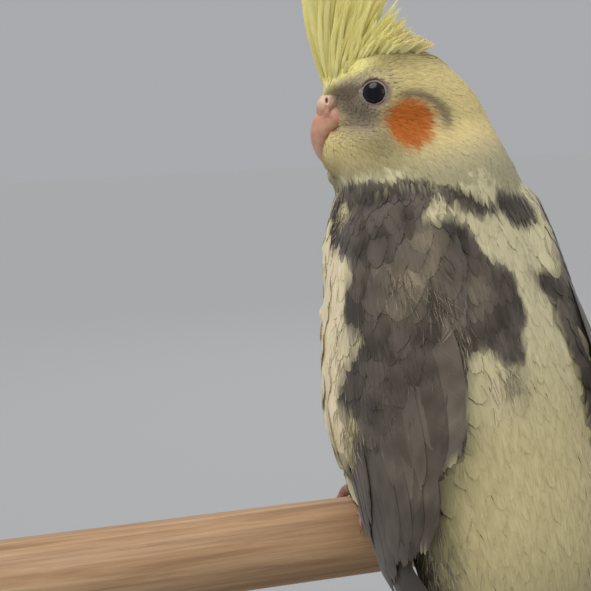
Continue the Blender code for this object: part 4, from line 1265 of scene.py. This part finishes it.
# Tail feathers and the coverts over their roots
def makeTail():
    edgeSplits = ([(chance.uniform(0.3, 0.9), chance.choice([-1, 1]), 0.2)] for _ in range(4))
    shapes = [vane(30, 9, longVane, 0.0, splits) for splits in edgeSplits]
    rows = []
    f = np.linspace(0, 1, 7)[:, None]

    def addFeather(start, tip, offsets, layers, outward, half):
        along, offset, layer = (a + (b - a) * f for a, b in ((start, tip), offsets, layers))
        spine = tail["root"] + tailAlong * along + [1, 0, 0] * offset + tailOut * layer
        rows.append((spine, np.tile(unit(outward), (7, 1)), half, tip - start))

    for pair, reach in enumerate(tail["lengths"]):
        for side in (1, -1):
            offsets = side * (2.0 + 1.3 * pair), side * (2.2 + 2.3 * pair)
            layers = 0.6 - 0.7 * pair + 0.35 * side, 0.2 - 0.8 * pair + 0.35 * side
            lean = math.radians(4 * side)
            outward = tailOut * math.cos(lean) + np.array([math.sin(lean), 0, 0])
            addFeather(4, reach - 1, offsets, layers, outward, 5.6 - 0.1 * pair)
    quills = len(rows)
    for row, (start, tip, half) in enumerate(tail["coverts"]):
        for face in (1, -1):
            for across in np.linspace(-1, 1, 7) + chance.normal(0, 0.05, 7):
                layers = face * (2.0 + 0.6 * row), face * (2.8 + 1.5 * row - 0.8 * abs(across))
                reach = tip - 7 * abs(across) + chance.uniform(-3, 3)
                offsets = across * 8.6, across * (6.4 + 0.8 * row)
                outward = tailOut * face + np.array([0.3 * across, 0, 0])
                addFeather(start, reach, offsets, layers, outward, half)
    spine, outs, half, length = (np.array(x, float) for x in zip(*rows))
    shade = mix(plumage["tail"], plumage["grey"], np.clip(0.35 + 0.4 * mottle(spine[:, 0] * 3, 9), 0, 0.75))
    shade[quills:] = plumage["rump"] * 0.8
    soft = [leaf(8, 9, roundVane, 0.4, 0.02, 8, 4) for _ in range(5)]
    gathered = []
    for mine, forms, thick in ((slice(0, quills), shapes, 0.3), (slice(quills, None), soft, 0.1)):
        laid = layFeathers(forms, spine[mine], outs[mine], half[mine], thick, 0.012)
        gathered.append((laid, shade[mine], spine[mine, 0], length[mine], half[mine]))
    laid, *rest = joinLaid(gathered)
    featherPiece("tailVanes", laid, *rest, vaned, "tail_plumage", 0.09, ownCells(len(rows), 8))


makeTail()

# Crest: soft plumes rooted on the forehead and the crown, the longest in front and in the middle
crest = {
    "tries": 34000, "spacing": 0.54, "longest": 54.0, "shortest": 6.5, "bend": math.radians(42),
    "front": 12.0, "back": -13.0, "side": 8.2, "halfWidth": (0.46, 0.88),
    "rise": 71, "riseBack": 76, "riseAside": 14,
}


def makeCrest():
    def keep(p, n):
        u, w, v = fromHead(p)
        low = np.interp(u, [-13, -2, 5, 9, 12], [9.5, 8.0, 6.5, 3.6, 1.6])
        return (v > low) & (u > crest["back"]) & (np.abs(w) < crest["side"]) & offTheBill(p)

    p, n = pickRoots(crest["tries"], lambda p: np.full(len(p), crest["spacing"]), keep)
    u, w, v = fromHead(p)
    f = np.clip((crest["front"] - u) / (crest["front"] - crest["back"]), 0, 1)
    middle = 1 - np.clip(np.abs(w) / crest["side"], 0, 1) ** 1.6
    length = crest["shortest"] + (crest["longest"] - crest["shortest"]) * (1 - f) ** 2.3 * middle**1.3
    length *= 1 - 0.45 * chance.random(len(p)) * (1 - f * 0.5)
    rise = crest["rise"] + 9 * smooth(0.02, 0.05, f) + crest["riseBack"] * f
    rise += chance.normal(0, 4, len(p)) + crest["riseAside"] * (1 - middle)
    steps = np.linspace(0, 1, 9)
    bend = crest["bend"] * length / crest["longest"] + chance.normal(0, 0.07, len(p))
    splay = w / crest["side"] * (0.16 + 0.25 * f) + chance.normal(0, 0.035, len(p))
    spine = [p - n * 0.5]
    lie = unit(flow(p) + n * 0.35)
    for step in steps[1:]:
        way = (np.radians(rise) + bend * step)[:, None]
        free = unit(headForward * np.cos(way) + up * np.sin(way) + headLeft * splay[:, None])
        loosed = smooth(0.5, 5.0, length * step)[:, None]  # the first millimetres lie along the head
        stride = (length / (len(steps) - 1))[:, None]
        spine.append(spine[-1] + unit(lie * (1 - loosed) + free * loosed) * stride)
    spine = np.stack(spine, 1)
    ahead = unit(np.gradient(spine, axis=1))
    tilt = chance.normal(0, 0.22, len(p))[:, None, None]
    facingOut = headLeft * np.sign(w + 0.01)[:, None, None]
    outs = unit(facingOut * 0.9 + np.cross(ahead, facingOut) * tilt)
    slim, full = crest["halfWidth"]
    half = slim + (full - slim) * (length / crest["longest"])
    shapes = [leaf(6, 9, longOutline, 0.2, 0.10, 16, 5) for _ in range(8)]
    laid = layFeathers(shapes, spine, outs, half, 0.06, 0.05)
    shade = mix(plumage["crest"], plumage["edge"], smooth(0.4, 0.95, f) * 0.55)
    featherPiece("crestFeathers", laid, shade, p, length, half, plumed, "crest_plumage")


makeCrest()


def paintPiece(piece, shadeAt):
    paintMesh(piece.data, shadeAt(meshArrays(piece.data)[0]))


# Eyes and the bare ring round them
eye = {
    "iris": colour(30, 22, 24), "pupil": colour(8, 9, 20),
    "pupilRadius": 1.9, "ringIn": 2.82, "ringOut": 4.1, "ringHigh": 2.68, "ringThick": 0.36,
}
eyeMaterial, tree, shader = shaderNodes(
    "eyeball", eye["iris"], 0.1, Specular_IOR_Level=0.2, Coat_Weight=0.15, Coat_Roughness=0.03
)
tree.links.new(painted(tree), shader.inputs["Base Color"])
lidMaterial, tree, shader = shaderNodes("eyelid", colour(150, 136, 130), 0.6)
grain = noise(tree, 1600.0, 3.0)
shades = ramp(tree, grain, [(0.3, colour(142, 128, 120)), (0.7, colour(160, 146, 134))])
tree.links.new(shades, shader.inputs["Base Color"])
relief(tree, shader, grain, 0.25, 0.0001)


def makeEye(name, node, side):
    bm = bmesh.new()
    bmesh.ops.create_uvsphere(bm, u_segments=48, v_segments=32, radius=head["eyeRadius"])
    facing = Vector(eyeFacing[side]).to_track_quat("Z", "Y")
    for v in bm.verts:
        v.co.z += 0.9 * max(0.0, v.co.z / head["eyeRadius"] - 0.72)  # the cornea stands a little proud
        v.co = facing @ v.co + Vector(eyeAt[side])
    ball = bmeshPiece(name, bm, eyeMaterial)
    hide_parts(node)

    def shadeAt(at):
        off = at - eyeAt[side]
        away = np.linalg.norm(off - (off @ eyeFacing[side])[:, None] * eyeFacing[side], axis=1)
        rim = eye["pupilRadius"]
        return mix(eye["pupil"], eye["iris"], smooth(rim - 0.1, rim + 0.1, away))

    paintPiece(ball, shadeAt)


def makeLid(name, side):
    facing = Vector(eyeFacing[side]).to_track_quat("Z", "Y")
    middle = (eye["ringIn"] + eye["ringOut"]) / 2
    wide = (eye["ringOut"] - eye["ringIn"]) / 2

    def place(turn, way):
        t, a = turn * 2 * math.pi, way * 2 * math.pi
        top, tucked = max(0, math.sin(a)), max(0, -math.sin(a))
        radius = middle + wide * math.cos(a) * (1 + 0.06 * math.sin(9 * t))
        radius += 0.05 * math.sin(23 * t + 1.3) * top
        thick = eye["ringThick"] * math.sin(a) * (1 + 0.10 * math.sin(17 * t))
        high = eye["ringHigh"] + thick - 0.62 * math.cos(a)
        high += 0.06 * math.sin(10 * math.cos(a) + 0.8 * math.sin(5 * t)) * top
        high -= 2.4 * tucked  # the ring's underside reaches down round the eyeball
        radius += 0.6 * tucked * max(0, math.cos(a))
        oval = Vector((radius * math.cos(t) * 1.03, radius * math.sin(t) * 0.97, high))
        return facing @ oval + Vector(eyeAt[side])

    bmeshPiece(name, wrappedGrid(120, 28, place), lidMaterial)

for side, word, node in ((1, "Left", "eye_l"), (-1, "Right", "eye_r")):
    makeEye("eye" + word, node, side)
    makeLid("eyelid" + word, side)
print("eyes made")

# Bill and cere
bill = {
    "centre": (5.6, -8.6), "arc": 10.6, "hook": 1.6,
    # angle on the arc, depth, width
    "stations": np.array([
        (84, 9.0, 7.0), (40, 9.6, 9.6), (8, 8.4, 9.2), (-18, 6.2, 7.0), (-38, 3.4, 4.0), (-54, 0.9, 0.9),
    ]),
}
bloodDepth = (0.002, 0.0008, 0.0005)  # how deep light runs in horn and bare skin
hornMaterial, tree, shader = shaderNodes(
    "billHorn", colour(206, 152, 134), 0.38,
    Subsurface_Weight=0.12, Subsurface_Radius=bloodDepth, Specular_IOR_Level=0.45,
)
growth = noise(tree, 700.0, 4.0, Roughness=0.65)
tree.links.new(mixColours(tree, 0.22, painted(tree), growth, "OVERLAY"), shader.inputs["Base Color"])
relief(tree, shader, growth, 0.25, 0.0001)
cereMaterial, tree, shader = shaderNodes(
    "cereSkin", colour(200, 156, 140), 0.6, Subsurface_Weight=0.1, Subsurface_Radius=bloodDepth
)
pores = noise(tree, 1300.0, 4.0)
tree.links.new(mixColours(tree, 0.25, painted(tree), pores, "OVERLAY"), shader.inputs["Base Color"])
relief(tree, shader, pores, 0.3, 0.0001)


def billShade(at):
    v = fromHead(at)[2]
    base = mix(colour(206, 150, 126), colour(216, 184, 156), smooth(-10, -17, v))
    base = mix(base, colour(196, 142, 124), smooth(-5.5, -3, v) * 0.6)
    return mix(base, colour(214, 182, 160), 0.35 * smooth(-0.4, 0.6, mottle(at, 3)))


def billPoint(reach, angle, across):
    u, v = bill["centre"]
    return headPoint(u + reach * math.cos(angle), across, v + reach * math.sin(angle))


def makeBillUpper():
    def place(turn, way):
        angle, depth, width = between(bill["stations"], np.array(way * 5))
        angle, t = math.radians(angle), turn * 2 * math.pi
        reach = bill["arc"] - bill["hook"] * angle - depth / 2 + depth / 2 * math.cos(t)
        across = width / 2 * math.sin(t) * (1 - 0.18 * math.cos(t))
        return billPoint(reach, angle, across * (1 + 0.05 * math.sin(way * 9) * math.cos(t)))

    piece = bmeshPiece("billUpper", wrappedGrid(44, 36, place), hornMaterial)
    paintPiece(piece, billShade)
    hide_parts("bill_upper")


# The lower mandible's root, reach and rise, and its height and half width with what they lose to the tip
lowerBill = {"root": (4.0, -15.0), "reach": 9.2, "rise": 1.4, "high": (2.8, 1.9), "half": (4.4, 2.0)}


def makeBillLower():
    def place(turn, f):
        t = turn * 2 * math.pi
        u = lowerBill["root"][0] + lowerBill["reach"] * f
        v = lowerBill["root"][1] + lowerBill["rise"] * f * f
        high, half = (full - lost * f * f for full, lost in (lowerBill["high"], lowerBill["half"]))
        shrink = 1 - max(0, f - 0.9) * 6
        return headPoint(u, half * math.sin(t) * shrink, v + high * math.cos(t) * shrink)

    piece = bmeshPiece("billLower", wrappedGrid(36, 20, place), hornMaterial)
    paintPiece(piece, billShade)
    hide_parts("bill_lower")


cere = {"arc": (20, 46, 88), "reach": 11.6, "depth": 3.1, "width": 4.5, "nostril": (11.7, -1.3)}


def cereShade(at):
    u, w, v = fromHead(at)
    base = mix(colour(226, 192, 168), colour(206, 150, 126), smooth(-1.4, -4.2, v))
    gap = ovalReach(u, v, cere["nostril"], (0.34, 0.75))
    # painted shade: the nostril's slit is painted dark over the shallow pit of the cushions
    return mix(base, colour(96, 62, 52), smooth(1.25, 0.6, gap) * (np.abs(w) > 2))


def makeCere():
    low, full, high = cere["arc"]

    def place(turn, way):
        degrees = low + (high - low) * way
        angle, t = math.radians(degrees), turn * 2 * math.pi
        k = float(smooth(low, full, degrees))
        number = float(np.interp(degrees, [8, 40, 84], [2, 1, 0]))
        _, depth, width = between(bill["stations"], np.array(number))
        over = -0.3 + 0.4 * float(smooth(low, low + 16, degrees))
        under = bill["arc"] - bill["hook"] * angle + over
        reach = under + (cere["reach"] - under) * k
        deep = (depth / 2 + over) * (1 - k) + cere["depth"] * k
        wide = (width / 2 + over) * (1 - k) + cere["width"] * k
        offRidge = t - 2 * math.pi * round(turn)
        groove = 0.35 * math.exp(-(offRidge / 0.22) ** 2) * k  # between the two cushions
        reach = reach - deep + deep * math.cos(t) - groove
        w = wide * math.sin(t)
        u, v = bill["centre"][0] + reach * math.cos(angle), bill["centre"][1] + reach * math.sin(angle)
        w *= 0.5 + 0.5 * float(smooth(6.5, 10.8, u))
        gap = float(ovalReach(u, v, cere["nostril"], (0.4, 0.8)))
        w *= 1 - 0.22 * math.exp(-(gap**4)) + 0.035 * math.exp(-((gap - 1.7) ** 2) * 2)
        w *= 1 + 0.015 * math.sin(3.1 * u + 2.2 * v)
        return headPoint(u, w, v)

    piece = bmeshPiece("cereCushions", wrappedGrid(120, 80, place), cereMaterial)
    paintPiece(piece, cereShade)
    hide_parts("cere")


makeBillUpper()
makeBillLower()
makeCere()
print("bill made")

# Feet: two toes ahead and two behind, hugging the perch
perch = {"radius": 11.0, "turn": math.radians(-18), "half": 122.0}
perchAlong = np.array([math.cos(perch["turn"]), math.sin(perch["turn"]), 0])
perchAhead = np.cross(up, perchAlong)
foot = {
    "at": 18.0, "toe": 1.7, "claw": 6.0,
    "lie": perch["radius"] + 0.3 + 1.7 + 0.25,  # the toe's middle from the dowel's axis
    # slant, length, ahead or behind
    "toes": ((-13, 19.0, 1), (14, 15.0, 1), (-16, 17.0, -1), (15, 11.0, -1)),
}
footMaterial, tree, shader = shaderNodes(
    "footSkin", colour(186, 132, 116), 0.55, Subsurface_Weight=0.08, Subsurface_Radius=bloodDepth
)
scales = textured(tree, "ShaderNodeTexVoronoi", {"Scale": 1500.0})
shades = ramp(tree, scales, [(0.1, colour(198, 146, 130)), (0.6, colour(150, 104, 92))])
tree.links.new(shades, shader.inputs["Base Color"])
relief(tree, shader, scales, 0.5, 0.0002, invert=True)
clawMaterial, tree, shader = shaderNodes("clawHorn", colour(150, 118, 104), 0.35, Specular_IOR_Level=0.5)
shades = ramp(tree, noise(tree, 800.0, 3.0), [(0.3, colour(112, 88, 80)), (0.7, colour(186, 150, 132))])
tree.links.new(shades, shader.inputs["Base Color"])


def roundPerch(along, angle, reach):
    across = perchAhead * (reach * math.sin(angle)) + up * (reach * math.cos(angle) - perch["radius"])
    return perchAlong * along + across


def addTube(bm, path, radii, sides, plates=0.0):
    # a closed tube along a path of points round the perch; plates raises scutes on its outer side
    count = len(path)
    made = bmesh.ops.create_grid(bm, x_segments=sides, y_segments=count - 1, size=0.5)["verts"]
    outward = [unit(p - (perchAlong * (p @ perchAlong) - up * perch["radius"])) for p in path]
    for v in made:
        i = round((v.co.y + 0.5) * (count - 1))
        t = (v.co.x + 0.5) * 2 * math.pi
        ahead = unit(path[min(i + 1, count - 1)] - path[max(i - 1, 0)])
        over = unit(outward[i] - ahead * (outward[i] @ ahead))
        side = np.cross(ahead, over)
        ridge = 1 + plates * (0.5 + 0.5 * math.cos(i * math.pi / 1.5)) * max(0, math.cos(t)) ** 0.5
        v.co = Vector(path[i] + (over * math.cos(t) + side * math.sin(t)) * radii[i] * ridge)
    bmesh.ops.remove_doubles(bm, verts=made, dist=1e-4)


def makeFoot(name, node, side):
    centre = foot["at"] * -side
    lie = foot["lie"]
    bm, claws = bmesh.new(), bmesh.new()
    pad = bmesh.ops.create_uvsphere(bm, u_segments=32, v_segments=20, radius=1)["verts"]
    for v in pad:
        x, y, z = v.co
        high = lie + 0.5 + 2.0 * z * (1 + 0.05 * math.sin(20 * x))
        v.co = Vector(roundPerch(centre + 3.4 * x, 3.8 * y / lie, high))
    for slant, length, way in foot["toes"]:
        skew = math.tan(math.radians(slant)) * side * way
        path, radii = [], []
        for i in range(37):
            f = i / 36
            knuckle = abs(math.sin(3 * math.pi * f))
            reach = length * f
            path.append(roundPerch(centre + skew * (reach + 1.5), way * reach / lie, lie + 0.15 * knuckle))
            radii.append(foot["toe"] * (1.0 - 0.24 * f) * (0.88 + 0.12 * knuckle) * (1 if f < 0.97 else 0.7))
        addTube(bm, path, radii, 20, 0.10)
        path, radii = [], []
        for i in range(17):
            f = i / 16
            reach = length - 1.4 + foot["claw"] * f
            high = lie + 0.4 + 0.7 * math.sin(math.pi * f) - 0.5 * f
            path.append(roundPerch(centre + skew * (reach + 1.5), way * reach / lie, high))
            radii.append(1.08 * (1 - 0.88 * f**1.2))
        addTube(claws, path, radii, 16)
    for form in (bm, claws):
        bmesh.ops.holes_fill(form, edges=[e for e in form.edges if e.is_boundary], sides=0)
    made = bmeshPiece(name, bm, footMaterial)
    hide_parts(node)
    bmeshPiece(name.replace("foot", "claws"), claws, clawMaterial)


makeFoot("footLeft", "foot_l", 1)
makeFoot("footRight", "foot_r", -1)
print("feet made")

# Perch and stand
woodMaterial, tree, shader = shaderNodes("dowelWood", colour(196, 148, 100), 0.5, Specular_IOR_Level=0.35)


def alongDowel(length, width):
    # a vector that runs along the dowel, for marks of about that length and width
    stretch = {"Rotation": (0, 0, perch["turn"]), "Scale": (1 / length, 1 / width, 1 / width)}
    return textured(tree, "ShaderNodeMapping", stretch, vector_type="TEXTURE")


fibre = noise(tree, 1.0, 6.0, alongDowel(18, 420), Roughness=0.7, Distortion=0.4)
bands = noise(tree, 1.0, 3.0, alongDowel(5, 90))
broad = ramp(tree, bands, [(0.3, colour(142, 106, 75)), (0.7, colour(191, 157, 121))])
fineShades = [(0.3, colour(104, 74, 50)), (0.52, colour(182, 146, 110)), (0.72, colour(218, 188, 150))]
fine = ramp(tree, fibre, fineShades)
tree.links.new(mixColours(tree, 0.5, broad, fine), shader.inputs["Base Color"])
relief(tree, shader, fibre, 0.25, 0.0003)

boardMaterial, tree, shader = shaderNodes(
    "lacqueredBoard", colour(44, 42, 40), 0.4, Coat_Weight=0.3, Coat_Roughness=0.15
)
dust = noise(tree, 60.0, 6.0)
shades = ramp(tree, dust, [(0.3, colour(38, 36, 34)), (0.75, colour(56, 53, 50))])
tree.links.new(shades, shader.inputs["Base Color"])
roughFrom(tree, shader, dust, 0.3, 0.5)
steelMaterial, tree, shader = shaderNodes("brushedSteel", colour(196, 196, 198), 0.3, Metallic=1.0)
brushed = textured(tree, "ShaderNodeMapping", {"Scale": (900, 900, 30)})
roughFrom(tree, shader, noise(tree, 1.0, 3.0, brushed), 0.22, 0.42)


def bevelledRod(radius, length, segments, rim):
    bm = bmesh.new()
    bmesh.ops.create_cone(bm, cap_ends=True, segments=segments, radius1=radius, radius2=radius, depth=length)
    rims = [e for e in bm.edges if abs(e.verts[0].co.z - e.verts[1].co.z) < 1e-6]
    bmesh.ops.bevel(bm, geom=rims, offset=rim, segments=4, profile=0.5, affect="EDGES", material=-1)
    return bm


def makePerch():
    bm = bevelledRod(perch["radius"], 2 * perch["half"], 96, 1.2)
    lie = Vector(perchAlong).to_track_quat("Z", "Y").to_matrix().to_4x4()
    bmesh.ops.transform(bm, matrix=Matrix.Translation((0, 0, -perch["radius"])) @ lie, verts=bm.verts)
    piece = bmeshPiece("perchDowel", bm, woodMaterial, 30)
    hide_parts("perch")


stand = {
    "baseSegments": 160, "baseRim": 1.2,
    "rodRadius": 3.0, "rodSegments": 48, "rodRim": 0.4,
    "saddle": 0.15,  # how far the rods' tops rise past the dowel's underside
}


def makeUpright(name, node, material, radius, top, segments, rim):
    # a rod or disc that stands at its CAD node's own place; top is its height over the floor
    low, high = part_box(node)
    middle = (low + high) * 500
    bm = bevelledRod(radius, top - low.z * 1000, segments, rim)
    height = (top + low.z * 1000) / 2 - perchTop
    bmesh.ops.translate(bm, verts=bm.verts, vec=(middle.x, middle.y, height))
    piece = bmeshPiece(name, bm, material, 30)
    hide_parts(node)


makePerch()
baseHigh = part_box("stand_base")[1] * 1000
makeUpright(
    "standBase", "stand_base", boardMaterial,
    baseHigh.x, baseHigh.z, stand["baseSegments"], stand["baseRim"],
)
rodTop = perchTop - 2 * perch["radius"] + stand["saddle"]
for word, node in (("Left", "stand_rod_l"), ("Right", "stand_rod_r")):
    makeUpright(
        "standRod" + word, node, steelMaterial,
        stand["rodRadius"], rodTop, stand["rodSegments"], stand["rodRim"],
    )
print("perch and stand made")

# Floor, light and camera
studio = {
    "floor": colour(161, 163, 166), "air": colour(226, 228, 232), "world": 0.52,
    "sun": 2.3, "fill": 1.4, "rim": 1.4, "aim": (0, -0.01, 0.24),
}
bm = bmesh.new()
bmesh.ops.create_grid(bm, x_segments=2, y_segments=2, size=20.0)
floorMesh = bpy.data.meshes.new("floor")
bm.to_mesh(floorMesh)
bm.free()
floorMesh.materials.append(shaderNodes("paleFloor", studio["floor"], 0.85)[0])
floor = addObject("floor", floorMesh)
floor.location.z = -0.0005

world = bpy.data.worlds.new("studio")
world.use_nodes = True
background = world.node_tree.nodes["Background"]
background.inputs[0].default_value = (*studio["air"], 1)
background.inputs[1].default_value = studio["world"]
bpy.context.scene.world = world


def addLight(name, kind, power, shade, towards, **settings):
    light = bpy.data.lights.new(name, kind)
    light.energy = power
    light.color = shade
    for key, value in settings.items():
        setattr(light, key, value)
    made = addObject(name, light)
    made.rotation_euler = Vector(towards).to_track_quat("-Z", "Y").to_euler()
    return made


def areaLight(name, place, size, power, shade):
    towards = Vector(studio["aim"]) - Vector(place)
    addLight(name, "AREA", power, shade, towards, size=size).location = place


addLight("sun", "SUN", studio["sun"], (1.0, 0.97, 0.92), (0.42, 0.16, -0.9), angle=math.radians(50))
areaLight("fill", (0.6, -0.9, 0.5), 0.6, studio["fill"], (0.95, 0.97, 1.0))
areaLight("rim", (0.5, 0.9, 0.9), 0.7, studio["rim"], (1.0, 0.98, 0.95))

camera = bpy.data.cameras.new("photoCamera")
camera.sensor_width = 36
camera.lens = camera.sensor_width * shot["reach"] / shot["width"]
camera.clip_start = 0.01
cameraObject = addObject("photoCamera", camera)
axes = Matrix((shotRight, shotUp, -shotAhead)).transposed().to_4x4()
cameraObject.matrix_world = Matrix.Translation(worldPoint(shot["from"])) @ axes
bpy.context.scene.camera = cameraObject
bpy.context.scene.view_settings.view_transform = "Standard"

print("scene ready")
